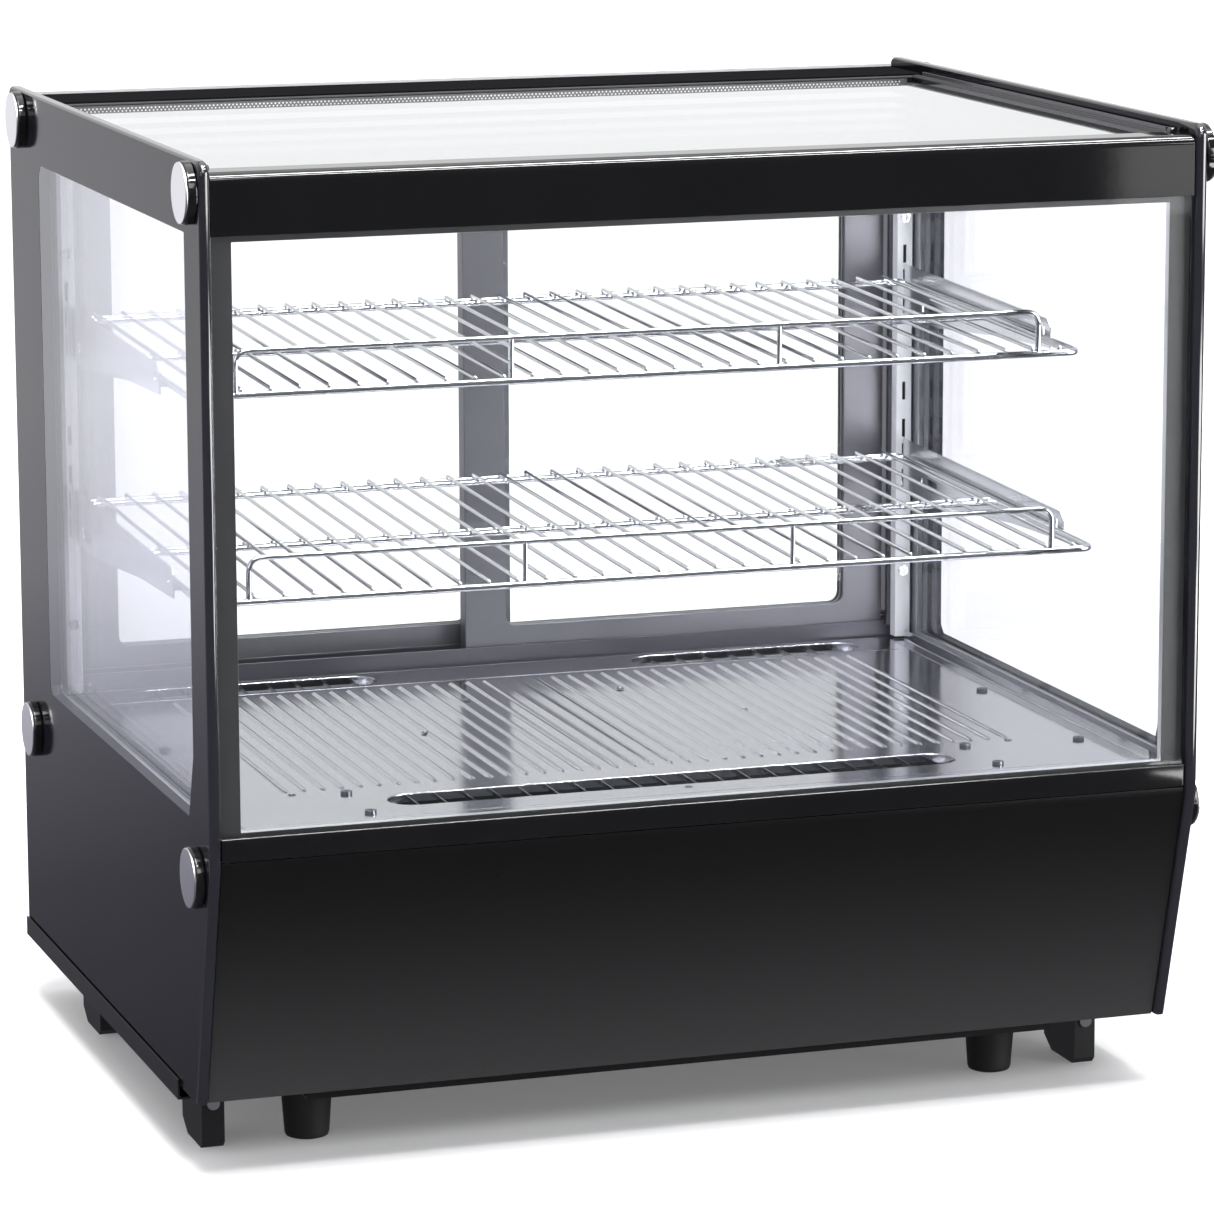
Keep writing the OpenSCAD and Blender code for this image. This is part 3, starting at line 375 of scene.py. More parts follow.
def metal(name, tone, rough, stretch=(1.0, 1.0, 1.0), grain=0.0006, depth=0.000004, vary=0.10, wear=0.05):
    """Bare or plated metal with a drawn grain along the axis that stretch keeps short."""
    material, tree = new_finish(name)
    at = tree.node("TexCoord", {}, {}, "Object")
    lines = cloud(at, grain, stretch, detail=4.0)
    patch = cloud(at, 0.045)
    surface = tree.node("BsdfPrincipled", {}, {
        "Base Color": shade_between(at, patch * 0.6 + lines * 0.4, [c * (1 - vary) for c in tone],
                                    [min(c * (1 + vary), 1.0) for c in tone]),
        "Metallic": 1.0,
        "Roughness": lines * wear + patch * wear + (rough - wear),
        "Normal": tree.node("Bump", {}, {"Strength": 0.6, "Distance": depth, "Height": lines})})
    return close_finish(material, surface)


def clear_glass(name, tint, mirror=1.0, haze=0.012, clear_from=None):
    """Float glass: see-through, mirrors more at low angles, with faint wiping haze.

    Behind clear_from the pane's reflection is painted out, cut by 93 per cent, so the bar under it shows."""
    material, tree = new_finish(name)
    at = tree.node("TexCoord", {}, {}, "Object")
    wipe = cloud(at, 0.06, (1.0, 1.0, 0.4)) * cloud(at, 0.009)
    see = tree.node("BsdfTransparent", {}, {"Color": tint})
    shine = tree.node("BsdfPrincipled", {}, {
        "Base Color": (0.9, 0.93, 0.95), "Roughness": wipe * 0.06 + 0.01, "Metallic": 1.0})
    facing = tree.node("LayerWeight", {}, {"Blend": 0.5}, "Facing")
    factor = (facing ** 5.0 * 0.95 + 0.025) * mirror + wipe * haze
    if clear_from is not None:
        along = tree.node("SeparateXYZ", {}, {"Vector": at}, "Y")
        over_bar = tree.node("Math", {"operation": "GREATER_THAN"}, {0: along, 1: clear_from})
        factor = factor * (1.0 - over_bar * 0.93)
    return close_finish(material, tree.node("MixShader", {}, {0: factor, 1: see, 2: shine}))


print_finish = lacquer("black_printed_glass", (0.0075, 0.0072, 0.0100), 0.10, specular=0.05, smudge=0.03)
side_clear = clear_glass("clear_side_glass", (0.985, 0.982, 0.998))
polished_edge = lacquer("polished_glass_edge", (0.012, 0.012, 0.016), 0.07, specular=0.75, ripple=0.00001,
                        smudge=0.02)
outline = arc((FRONT_Y + CORNER_R, TOP_Z - CORNER_R), CORNER_R, 90, 180, 8)
outline += [(FRONT_Y, KNEE_Z), (FRONT_Y + SLANT, LOW_Z), (REAR_Y, LOW_Z)]
outline += arc((REAR_Y - CORNER_R, TOP_Z - CORNER_R), CORNER_R, 0, 90, 8)
front_edges = 10
radii = [FULL_ROUND] * front_edges + [POLISH] * (len(outline) - front_edges)
window = [(CLEAR_FRONT, CLEAR_TOP), (CLEAR_FRONT, CLEAR_LOW + 0.043), (CLEAR_FRONT + 0.014, CLEAR_LOW),
          (CLEAR_REAR - 0.006, CLEAR_LOW), (CLEAR_REAR, CLEAR_LOW + 0.006),
          (CLEAR_REAR, CLEAR_TOP - 0.008), (CLEAR_REAR - 0.008, CLEAR_TOP)]


def only(verts, faces):
    """Drops the verts that no face in the list uses."""
    used = sorted({i for face in faces for i in face})
    place = {old: new for new, old in enumerate(used)}
    return [verts[i] for i in used], [tuple(place[i] for i in face) for face in faces]


for side, name in ((-1, "left"), (1, "right")):
    node = name + "_side_glass"
    verts, rim, flat = sheet_glass(outline, radii, window, SIDE_IN, HALF_W)
    verts = [(side * v[0], v[1], v[2]) for v in verts]
    add_piece(name + "_glass_print", node, print_finish, *only(verts, flat), stands_for=(node,))
    add_piece(name + "_glass_edge", node, polished_edge, *only(verts, rim))
    verts, faces = slab(window, SIDE_IN + WINDOW_SINK, HALF_W - WINDOW_SINK)
    verts = [(side * v[0], v[1], v[2]) for v in verts]
    add_piece(name + "_glass_window", node, side_clear, verts, faces)

# Inner side panes, front glass and top glass. All are 4 mm float glass. The front and top
# are pairs of panes, and each inner side pane makes a pair with its side glass.
pane_glass = clear_glass("clear_float_glass", (0.992, 0.996, 0.995))


def dress(node, material):
    slots = frame["nodes"][node].data.materials
    slots.clear()
    slots.append(material)


def eased(node, radius, material, steps=2, angle=30.0, brow=0.0):
    """A copy of a CAD node whose sharp edges are rounded by radius. It stands for the node.

    A brow rounds the long edge at the top of its front face by more than the others."""
    form = bmesh.new()
    form.from_mesh(frame["nodes"][node].data)
    bmesh.ops.remove_doubles(form, verts=form.verts, dist=1e-6)
    bmesh.ops.dissolve_limit(form, angle_limit=math.radians(0.6), verts=form.verts, edges=form.edges)
    if brow:
        front = min(v.co.y for v in form.verts) + 0.0002
        crown = max(v.co.z for v in form.verts) - 0.0002
        long_edge = [e for e in form.edges if all(v.co.y < front and v.co.z > crown for v in e.verts)]
        bmesh.ops.bevel(form, geom=long_edge, offset=brow, offset_type="OFFSET", segments=8,
                        profile=0.5, affect="EDGES", clamp_overlap=True)
    least = math.radians(angle)
    sharp = [e for e in form.edges if len(e.link_faces) == 2 and e.calc_face_angle(0.0) > least]
    bmesh.ops.bevel(form, geom=sharp, offset=radius, offset_type="OFFSET", segments=steps,
                    profile=0.5, affect="EDGES", clamp_overlap=True)
    bmesh.ops.triangulate(form, faces=[f for f in form.faces if len(f.verts) > 4])
    mesh = bpy.data.meshes.new(node + "_eased")
    form.to_mesh(mesh)
    form.free()
    mesh.shade_smooth()
    mesh.set_sharp_from_angle(angle=math.radians(48.0))
    mesh.materials.append(material)
    made = bpy.data.objects.new(node + "_eased", mesh)
    scene.collection.objects.link(made)
    flatten(made)
    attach(made, body_of(node))
    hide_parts(node)
    return made


inner_glass = clear_glass("clear_inner_side_glass", (0.990, 0.988, 0.998))
# The top glass's reflection is painted out behind y = 0.150, over the bar under its rear edge.
top_glass = clear_glass("clear_top_glass", (0.992, 0.996, 0.995), mirror=1.5, clear_from=0.150)
for node, glass in (("front_glass_outer", pane_glass), ("front_glass_inner", pane_glass),
                    ("top_glass_outer", top_glass), ("top_glass_inner", top_glass),
                    ("left_inner_glass", inner_glass), ("right_inner_glass", inner_glass)):
    eased(node, 0.0006, glass)

# Sealant: silicone is run round each pair of panes and holds them together. It is black
# behind the front and top panes, and pale grey round the two side units.
SIDE_UNITS_BEHIND, SIDE_UNITS_BELOW = -0.258, 0.655
material, tree = new_finish("pane_sealant")
at = tree.node("TexCoord", {}, {}, "Object")
along = tree.node("SeparateXYZ", {}, {"Vector": at}, "Y")
climb = tree.node("SeparateXYZ", {}, {"Vector": at}, "Z")
in_side = (tree.node("Math", {"operation": "GREATER_THAN"}, {0: along, 1: SIDE_UNITS_BEHIND})
           * tree.node("Math", {"operation": "LESS_THAN"}, {0: climb, 1: SIDE_UNITS_BELOW}))
putty = cloud(at, 0.003)
close_finish(material, tree.node("BsdfPrincipled", {}, {
    "Base Color": shade_between(at, in_side, (0.026, 0.026, 0.028), (0.50, 0.50, 0.52)),
    "Roughness": putty * 0.12 + 0.32,
    "Normal": tree.node("Bump", {}, {"Strength": 0.5, "Distance": 0.00008, "Height": putty})}))
dress("glazing_spacers", material)

# Glazing spacers: the bar between two panes is a hollow aluminium section. Its inner face
# is bare and drilled with two rows of small holes, and the sealant is behind it. A real
# pane bends light and so lifts the rear bar behind it, which LIFT does here.
LIFT = 0.0036
LINING, HOLE_PITCH, HOLE = 0.0002, 0.0029, 0.00055
HOLE_ROWS, END_GAP, HOLE_FRONT = (0.34, 0.66), 0.003, 0.00025
OCTAGON = ((-1, -0.6), (-0.6, -1), (0.6, -1), (1, -0.6), (1, 0.6), (0.6, 1), (-0.6, 1), (-1, 0.6))
bar_metal = metal("spacer_aluminium", (0.80, 0.80, 0.83), 0.30, (0.1, 0.1, 1.0), depth=0.000002, vary=0.04)
hole_mark = lacquer("spacer_holes", (0.60, 0.60, 0.61), 0.5)
# Painted shade: the rear bar's inner face is given this dark grey, though it is bare aluminium like the other
# bars.
rear_bar_painted_shade = lacquer("spacer_painted_shade", (0.055, 0.055, 0.058), 0.45)
form = bmesh.new()
form.from_mesh(frame["nodes"]["glazing_spacers"].data)
bmesh.ops.remove_doubles(form, verts=form.verts, dist=1e-6)
left_over, units = set(form.verts), []
while left_over:
    reached, edge_of = set(), [left_over.pop()]
    while edge_of:
        vert = edge_of.pop()
        reached.add(vert)
        edge_of += [e.other_vert(vert) for e in vert.link_edges if e.other_vert(vert) not in reached]
    left_over -= reached
    units.append([vert.co.copy() for vert in reached])
form.free()
bars, dots, shade = ([], []), ([], []), ([], [])
for unit in sorted(units, key=lambda u: tuple(sum((Vector(c) for c in u), Vector()))):
    spans = [(min(c[k] for c in unit), max(c[k] for c in unit)) for k in range(3)]
    thin = min(range(3), key=lambda k: spans[k][1] - spans[k][0])
    wide, tall = [k for k in range(3) if k != thin]
    inner = [sorted({round(c[k], 5) for c in unit}) for k in (wide, tall)]
    u0, u1 = inner[0][1] + LINING, inner[0][-2] - LINING
    v0, v1 = inner[1][1] + LINING, inner[1][-2] - LINING
    deep = spans[thin][1] - spans[thin][0]
    rings = []
    for cut, sink in ((0.0, -LINING * 0.9), (0.08, 0.0), (0.92, 0.0), (1.0, -LINING * 0.9)):
        ring = []
        left, right, near, far = u0 + sink, u1 - sink, v0 + sink, v1 - sink
        for u, v in ((left, near), (right, near), (right, far), (left, far)):
            point = [0.0, 0.0, 0.0]
            point[thin], point[wide], point[tall] = spans[thin][0] + deep * cut, u, v
            ring.append(tuple(point))
        rings.append(ring)
    for i in range(4):
        # The rear bar of each top unit takes the painted shade finish.
        rear_bar = thin == 2 and i == 2
        verts, faces = shade if rear_bar else bars
        base = len(verts)
        for ring in rings:
            for point in (ring[i], ring[(i + 1) % 4]):
                verts.append((point[0], point[1], point[2] + (LIFT if rear_bar else 0.0)))
        faces += [(base + k, base + k + 1, base + k + 3, base + k + 2) for k in (0, 2, 4)]
    if thin == 2:
        verts, faces = dots
        for row, up in enumerate(HOLE_ROWS):
            z = spans[2][0] + LIFT + deep * up
            for n in range(int((u1 - u0 - 2 * END_GAP) / HOLE_PITCH)):
                x = u0 + END_GAP + HOLE_PITCH * (n + 0.5 * row)
                base = len(verts)
                verts += [(x + HOLE * a, v1 - HOLE_FRONT, z + HOLE * b) for a, b in OCTAGON]
                faces.append(tuple(range(base, base + len(OCTAGON))))
for name, finish, (verts, faces) in (("spacer_faces", bar_metal, bars),
                                     ("spacer_rear_face", rear_bar_painted_shade, shade),
                                     ("spacer_hole_rims", hole_mark, dots)):
    add_piece(name, "glazing_spacers", finish, verts, faces, sharp=60.0)

# Front beam: a lacquered aluminium section with a rounded brow. It is held between the
# side glasses and carries the top edge of the front panes.
gloss_black = lacquer("gloss_black_lacquer", (0.0045, 0.0045, 0.005), 0.045, specular=0.42, ripple=0.00001,
                      smudge=0.03)
eased("top_front_beam", 0.0009, gloss_black, steps=3, brow=0.0065)

# Rear beam: an aluminium section that carries the top door track and the rear edge of the
# top glass. It is matt black; the top band along its back edge, the lip, is painted pale grey as a painted
# highlight.
BEAM_TOP, LIP_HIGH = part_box("top_rear_beam")[1].z, 0.0022
material, tree = new_finish("rear_beam")
at = tree.node("TexCoord", {}, {}, "Object")
climb = tree.node("SeparateXYZ", {}, {"Vector": at}, "Z")
# Painted highlight: the top LIP_HIGH of the beam is coloured pale grey, for the bright line along its back
# edge.
lip_highlight_mask = tree.node("Math", {"operation": "GREATER_THAN"}, {0: climb, 1: BEAM_TOP - LIP_HIGH})
speck = cloud(at, 0.0012, detail=2.0)
close_finish(material, tree.node("BsdfPrincipled", {}, {
    "Base Color": shade_between(at, lip_highlight_mask, (0.010, 0.010, 0.011), (0.80, 0.80, 0.81)),
    "Roughness": speck * 0.15 + 0.45,
    "Specular IOR Level": 0.0,
    "Normal": tree.node("Bump", {}, {"Strength": 0.5, "Distance": 0.00002, "Height": speck})}))
eased("top_rear_beam", 0.0006, material, steps=2)

# Front trim and panel: the trim is a lacquered aluminium bar over the lower edge of the
# front panes. The panel below is folded steel sheet in satin black paint, screwed to the
# base behind it. Its colour is painted lighter towards the bottom: a painted sheen, for the
# reflection that brightens down the panel.
eased("front_trim", 0.0014, gloss_black, steps=4)
PANEL_LOW, PANEL_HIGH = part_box("front_panel")
material, tree = new_finish("front_panel_painted_sheen")
at = tree.node("TexCoord", {}, {}, "Object")
climb = tree.node("SeparateXYZ", {}, {"Vector": at}, "Z")
span = PANEL_HIGH.z - PANEL_LOW.z
low_down = climb * (-1.0 / span) + PANEL_HIGH.z / span
wipe = cloud(at, 0.10, (0.4, 1.0, 1.0))
speck = cloud(at, 0.0012, detail=2.0)
# Painted sheen: the base colour grows lighter towards the bottom of the panel, with a faint random cloud
# through it.
painted_sheen = low_down ** 1.7 * (wipe * 0.25 + 0.85)
close_finish(material, tree.node("BsdfPrincipled", {}, {
    "Base Color": shade_between(at, painted_sheen, (0.0036, 0.0036, 0.0038), (0.030, 0.030, 0.031)),
    "Roughness": wipe * 0.06 + speck * 0.04 + 0.24,
    "Specular IOR Level": 0.20,
    "Normal": tree.node("Bump", {}, {"Strength": 0.5, "Distance": 0.00002, "Height": speck})}))
eased("front_panel", 0.0011, material, steps=4)

# Round caps that clamp the side glasses: black acrylic drums with a turned steel disc let
# into the face. The studs run through the glass into the chassis.
cap_black = lacquer("black_cap", (0.004, 0.004, 0.0045), 0.08)
disc_finish = metal("turned_disc", (0.70, 0.69, 0.72), 0.30, (1.0, 0.15, 6.0), depth=0.00001)
stud_finish = metal("stud_steel", (0.62, 0.62, 0.64), 0.32)
eased("cap_bodies", 0.0012, cap_black, steps=4)
eased("cap_discs", 0.0005, disc_finish, steps=3)
dress("cap_studs", stud_finish)

# Top rails: stepped, dark anodised aluminium strips that carry the edges of the top glass.
# A black plug, rounded on top, closes the front end of each.
PLUG_R, PLUG_OUT, PLUG_DEPTH, PLUG_SINK, PLUG_EDGE = 0.0024, 0.0022, 0.0062, 0.0016, 0.0008
rail_finish = metal("dark_anodised_rail", (0.115, 0.113, 0.125), 0.34, (1.0, 0.05, 1.0), depth=0.000006)
for node in ("top_left_rail", "top_right_rail"):
    eased(node, 0.0006, rail_finish, steps=3)

plug_finish = lacquer("black_rail_plug", (0.006, 0.006, 0.006), 0.3)
RAIL_LOW, RAIL_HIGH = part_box("top_right_rail")
plug_x, plug_z, plug_low = RAIL_HIGH.x - 0.0028, RAIL_HIGH.z - PLUG_SINK, RAIL_HIGH.z - 0.005
plug_front = RAIL_LOW.y - PLUG_OUT
plug_back = plug_front + PLUG_DEPTH
for side, node in ((-1, "top_left_rail"), (1, "top_right_rail")):
    verts, faces = [], []
    for y, grow in ((plug_front, -PLUG_EDGE), (plug_front + PLUG_EDGE, 0.0),
                    (plug_back, 0.0), (plug_back + PLUG_EDGE, -PLUG_EDGE)):
        reach = PLUG_R + grow
        loop = arc((plug_x, plug_z), reach, 0, 180, 8)
        loop += [(plug_x - reach, plug_low), (plug_x + reach, plug_low)]
        base, count = len(verts), len(loop)
        verts += [(side * x, y, z) for x, z in loop]
        for i in range(count if base else 0):
            j = (i + 1) % count
            faces.append((base - count + i, base - count + j, base + j, base + i))
    faces += [tuple(range(count)), tuple(range(base, base + count))]
    add_piece(node + "_plug", node, plug_finish, verts, faces)

# Rubber gasket: an extruded black bead that fills the joint round the top glass. Each
# pair below is how far out from the glass, and how high above it, one line of it runs.
GASKET_PROFILE = ((-0.0012, -0.0002), (-0.0010, 0.0006), (-0.0002, 0.0011),
                  (0.00064, 0.0008), (0.0008, -0.0030))
gasket_finish = lacquer("black_gasket", (0.012, 0.012, 0.012), 0.5, specular=0.35, ripple=0.00005, smudge=0.1)
TOP_LOW, TOP_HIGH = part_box("top_glass_outer")
verts, faces = [], []
for grow, up in GASKET_PROFILE:
    x0, x1, y0, y1 = TOP_LOW.x - grow, TOP_HIGH.x + grow, TOP_LOW.y - grow, TOP_HIGH.y + grow
    base = len(verts)
    verts += [(x, y, TOP_HIGH.z + up) for x, y in ((x0, y0), (x1, y0), (x1, y1), (x0, y1))]
    for i in range(4 if base else 0):
        j = (i + 1) % 4
        faces.append((base - 4 + i, base - 4 + j, base + j, base + i))
add_piece("top_glass_gasket", "top_glass_outer", gasket_finish, verts, faces)

# Rear posts and door tracks: black anodised aluminium extrusions, screwed to the base and
# to the rear beam. The doors hang and slide in the tracks.
post_finish = metal("black_anodised", (0.115, 0.114, 0.130), 0.34, (1.0, 1.0, 0.05), depth=0.000002,
                    vary=0.02, wear=0.015)
eased("rear_posts", 0.0008, post_finish, steps=2)
eased("top_door_track", 0.0003, post_finish)
eased("bottom_door_track", 0.0003, post_finish)

# Slotted pilasters, shelf brackets and screws. The pilasters are folded satin steel; the
# brackets are bright zinc plated sheet steel and hook into the pilasters' slots.
zinc = metal("bright_zinc", (0.80, 0.80, 0.83), 0.20, (1.0, 1.0, 0.25), depth=0.000008, vary=0.14, wear=0.08)
satin_steel = lacquer("satin_steel", (0.74, 0.74, 0.77), 0.35, specular=0.9, smudge=0.1)
eased("shelf_pilasters", 0.0003, satin_steel)
for node in ("upper_left_bracket", "upper_right_bracket", "lower_left_bracket", "lower_right_bracket"):
    eased(node, 0.00025, zinc)
screw_finish = metal("bright_screw", (0.78, 0.78, 0.80), 0.16)
DECK_SCREWS_BELOW = 0.26    # the deck's screws stand lower than this, and look dark
material, tree = new_finish("case_screws")
at = tree.node("TexCoord", {}, {}, "Object")
climb = tree.node("SeparateXYZ", {}, {"Vector": at}, "Z")
high_up = tree.node("Math", {"operation": "GREATER_THAN"}, {0: climb, 1: DECK_SCREWS_BELOW})
speck = cloud(at, 0.0005, detail=2.0)
close_finish(material, tree.node("BsdfPrincipled", {}, {
    "Base Color": shade_between(at, high_up, (0.16, 0.16, 0.18), (0.80, 0.80, 0.82)),
    "Metallic": 1.0,
    "Roughness": speck * 0.10 + 0.20,
    "Normal": tree.node("Bump", {}, {"Strength": 0.4, "Distance": 0.00001, "Height": speck})}))
eased("case_screws", 0.00035, material)
eased("foot_screws", 0.0005, screw_finish)

# Wire shelves. A 5 mm frame wire is bent round, 3 mm wires are welded across it from back
# to front, and a guard wire stands on the front wire. All is bright chrome plate.
chrome = metal("chrome_plate", (0.74, 0.74, 0.76), 0.07, vary=0.05, wear=0.03, depth=0.000002)


def rounded(points, radius, steps=6):
    """A path whose inner corners are replaced by arcs of about that radius."""
    path = [Vector(points[0])]
    for i in range(1, len(points) - 1):
        a, b, c = Vector(points[i - 1]), Vector(points[i]), Vector(points[i + 1])
        u, v = (a - b).normalized(), (c - b).normalized()
        start, stop = b + u * radius, b + v * radius
        for k in range(steps + 1):
            t = k / steps
            path.append(start * (1 - t) ** 2 + b * 2 * t * (1 - t) + stop * t ** 2)
    path.append(Vector(points[-1]))
    return path


def wire(verts, faces, path, radius, sides=10, closed=False):
    """Adds a round wire along a path, with domed ends when it is open."""
    path = [Vector(p) for p in path]
    rings = []
    count = len(path)
    normal = None
    for i, p in enumerate(path):
        if closed:
            run = (path[(i + 1) % count] - path[i - 1]).normalized()
        else:
            run = (path[min(i + 1, count - 1)] - path[max(i - 1, 0)]).normalized()
        if normal is None:
            normal = run.orthogonal().normalized()
        normal = (normal - run * normal.dot(run)).normalized()
        rings.append((p, run, normal, radius))
    if not closed:
        head, tail = rings[0], rings[-1]
        domes = [(0.5, 0.87), (0.87, 0.5), (0.99, 0.12)]
        reach = radius * 0.8
        first = [(head[0] - head[1] * reach * d, head[1], head[2], radius * w) for d, w in reversed(domes)]
        last = [(tail[0] + tail[1] * reach * d, tail[1], tail[2], radius * w) for d, w in domes]
        rings = first + rings + last
    base = len(verts)
    for p, run, n, r in rings:
        across = run.cross(n)
        for k in range(sides):
            t = 2 * math.pi * k / sides
            verts.append(p + (n * math.cos(t) + across * math.sin(t)) * r)
    total = len(rings)
    for i in range(total if closed else total - 1):
        for k in range(sides):
            a, b = base + i * sides, base + ((i + 1) % total) * sides
            faces.append((a + k, a + (k + 1) % sides, b + (k + 1) % sides, b + k))
    if not closed:
        faces.append(tuple(range(base, base + sides)))
        faces.append(tuple(range(base + (total - 1) * sides, base + total * sides)))


SHELF_X, SHELF_BACK, HOOK_Y, TILT = 0.322, -0.005, 0.2097, math.radians(1.5)
FRAME_R, CROSS_R, GUARD_R = 0.0025, 0.0015, 0.002
WIRE_PITCH, WIRES_EACH_SIDE, STAY_GAP, WELD = 0.0205, 15, 0.011, 0.0003
GUARD_H, GUARD_X, GUARD_FOOT = 0.030, 0.291, 0.001
for node, rest_z, depth in (("upper_shelf", 0.5215, 0.345), ("lower_shelf", 0.3865, 0.373)):
    verts, faces = [], []
    front_y = -depth
    frame_wire = [(0, SHELF_BACK, 0), (-SHELF_X, SHELF_BACK, 0), (-SHELF_X, front_y, 0),
                  (SHELF_X, front_y, 0), (SHELF_X, SHELF_BACK, 0), (0, SHELF_BACK, 0)]
    wire(verts, faces, rounded(frame_wire, 0.009)[:-1], FRAME_R, 14, closed=True)
    middle = (front_y + SHELF_BACK) / 2
    for y in (SHELF_BACK - STAY_GAP, middle, middle - STAY_GAP):
        wire(verts, faces, [(-SHELF_X + 0.001, y, 0), (SHELF_X - 0.001, y, 0)], FRAME_R * 0.8, 12)
    lift = FRAME_R + CROSS_R - WELD
    for i in range(-WIRES_EACH_SIDE, WIRES_EACH_SIDE + 1):
        x = i * WIRE_PITCH
        wire(verts, faces, [(x, front_y - 0.0005, lift), (x, SHELF_BACK + 0.0005, lift)], CROSS_R, 12)
    guard = [(-GUARD_X, front_y, GUARD_FOOT), (-GUARD_X, front_y, GUARD_H),
             (GUARD_X, front_y, GUARD_H), (GUARD_X, front_y, GUARD_FOOT)]
    wire(verts, faces, rounded(guard, 0.010, 8), GUARD_R, 14)
    for x in (-GUARD_X / 3, GUARD_X / 3):
        wire(verts, faces, [(x, front_y, GUARD_FOOT), (x, front_y, GUARD_H - 0.001)], GUARD_R * 0.85, 12)
    turn = Matrix.Translation((0, HOOK_Y, rest_z)) @ Matrix.Rotation(TILT, 4, "X")
    verts = [turn @ Vector(v) for v in verts]
    add_piece(node + "_wires", node, chrome, verts, faces, sharp=60.0, stands_for=(node,))

# Deck: one pressed sheet of polished stainless steel with 41 ribs, three air slots with
# rolled lips, creases that stiffen its border, and upturned sides. Screws hold it down.
steel = metal("polished_stainless", (0.56, 0.555, 0.60), 0.14, (0.6, 0.04, 1.0), depth=0.0000012, vary=0.03,
              wear=0.02)
DECK_LOW, DECK_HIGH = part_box("deck")
DECK_TOP, DECK_T = 0.241, 0.001
RIB_PITCH, RIB_HALF, RIB_RISE, RIBS = 0.0132, 0.0030, 0.0013, 20
RIB_FRONT, RIB_BACK = -0.152, 0.166
SLOT_R, LIP_R, LIP_DEPTH = 0.018, 0.0009, 0.006
NOTCH_X, NOTCH_Y, CREASE_HALF = 0.3195, 0.208, 0.0006
CREASES = [(-0.318, -0.246, -0.318, 0.200, 0.00022), (0.318, -0.246, 0.318, 0.200, 0.00022),
           (-0.310, 0.1725, 0.310, 0.1725, 0.00025), (-0.316, -0.240, 0.316, -0.240, 0.0002)]
SLOTS = [(-0.206, 0.206, -0.196), (0.10065, 0.28565, 0.196), (-0.28565, -0.10065, 0.196)]


def slot_loop(x0, x1, y, r, steps=10):
    return arc((x1 - r, y), r, -90, 90, steps) + arc((x0 + r, y), r, 90, 270, steps)


edge_x = DECK_HIGH.x
outer = [(-edge_x, DECK_LOW.y), (edge_x, DECK_LOW.y), (edge_x, NOTCH_Y), (NOTCH_X, NOTCH_Y),
         (NOTCH_X, DECK_HIGH.y), (-NOTCH_X, DECK_HIGH.y), (-NOTCH_X, NOTCH_Y), (-edge_x, NOTCH_Y)]
lips = [slot_loop(*slot, SLOT_R) for slot in SLOTS]
verts, faces = [], []
for z in (DECK_TOP, DECK_TOP - DECK_T):
    loops = [outer] + lips
    base = len(verts)
    verts += [(x, y, z) for loop in loops for x, y in loop]
    faces += [tuple(base + i for i in tri) for tri in
              tessellate_polygon([[Vector((x, y, 0)) for x, y in loop] for loop in loops])]
for i in range(len(outer)):
    j = (i + 1) % len(outer)
    faces.append((i, j, base + j, base + i))
# The edge of each slot is rolled down into a rounded lip.
for loop, (x0, x1, y) in zip(lips, SLOTS):
    rings = []
    for k in range(7):
        t = math.radians(90 * k / 6)
        shrink, drop = LIP_R * math.sin(t), LIP_R * (1 - math.cos(t))
        lip = slot_loop(x0 + shrink, x1 - shrink, y, SLOT_R - shrink)
        rings.append([(px, py, DECK_TOP - drop) for px, py in lip])
    rings.append([(px, py, DECK_TOP - LIP_DEPTH) for px, py, pz in rings[-1]])
    count = len(loop)
    for k, ring in enumerate(rings):
        base = len(verts)
        verts += ring
        for i in range(count if k else 0):
            j = (i + 1) % count
            faces.append((base - count + i, base - count + j, base + j, base + i))
for side in (-1, 1):
    x_in, x_out = side * (edge_x - DECK_T), side * edge_x
    base = len(verts)
    profile = [(x_out, DECK_TOP - DECK_T), (x_out, DECK_HIGH.z - 0.0003),
               (x_out - side * 0.0005, DECK_HIGH.z), (x_in, DECK_HIGH.z - 0.0003), (x_in, DECK_TOP + 0.001),
               (x_in - side * 0.0008, DECK_TOP + 0.0002), (x_in - side * 0.0012, DECK_TOP)]
    for y in (DECK_LOW.y, NOTCH_Y):
        verts += [(x, y, z) for x, z in profile]
    n = len(profile)
    faces += [(base + i, base + (i + 1) % n, base + n + (i + 1) % n, base + n + i) for i in range(n)]


def pressed_bead(verts, faces, start, stop, half, rise, top, steps=8, ends=5):
    """A rounded bead pressed up from a flat sheet between two points, fading out at its ends."""
    a, b = Vector((*start, 0.0)), Vector((*stop, 0.0))
    run = (b - a).normalized()
    across = Vector((-run.y, run.x, 0.0))
    length = (b - a).length
    stations = [half * 2 * k / ends for k in range(ends)]
    stations += [length - half * 2 * k / ends for k in range(ends, -1, -1)]
    base = len(verts)
    for d in stations:
        near = min(d, length - d) / (half * 2)
        fade = math.sin(math.pi / 2 * min(max(near, 0.0), 1.0))
        for k in range(steps + 1):
            t = -1 + 2 * k / steps
            lift = Vector((0, 0, top + 0.00001 + rise * fade * (0.5 + 0.5 * math.cos(math.pi * t))))
            verts.append(a + run * d + across * (half * t * (0.35 + 0.65 * fade)) + lift)
    for i in range(len(stations) - 1):
        for k in range(steps):
            c, d = base + i * (steps + 1) + k, base + (i + 1) * (steps + 1) + k
            faces.append((c, c + 1, d + 1, d))


for i in range(-RIBS, RIBS + 1):
    x = i * RIB_PITCH
    pressed_bead(verts, faces, (x, RIB_FRONT), (x, RIB_BACK), RIB_HALF, RIB_RISE, DECK_TOP)
for x0, y0, x1, y1, rise in CREASES:
    pressed_bead(verts, faces, (x0, y0), (x1, y1), CREASE_HALF, rise, DECK_TOP)
add_piece("deck_sheet", "deck", steel, verts, faces, sharp=50.0, stands_for=("deck",))
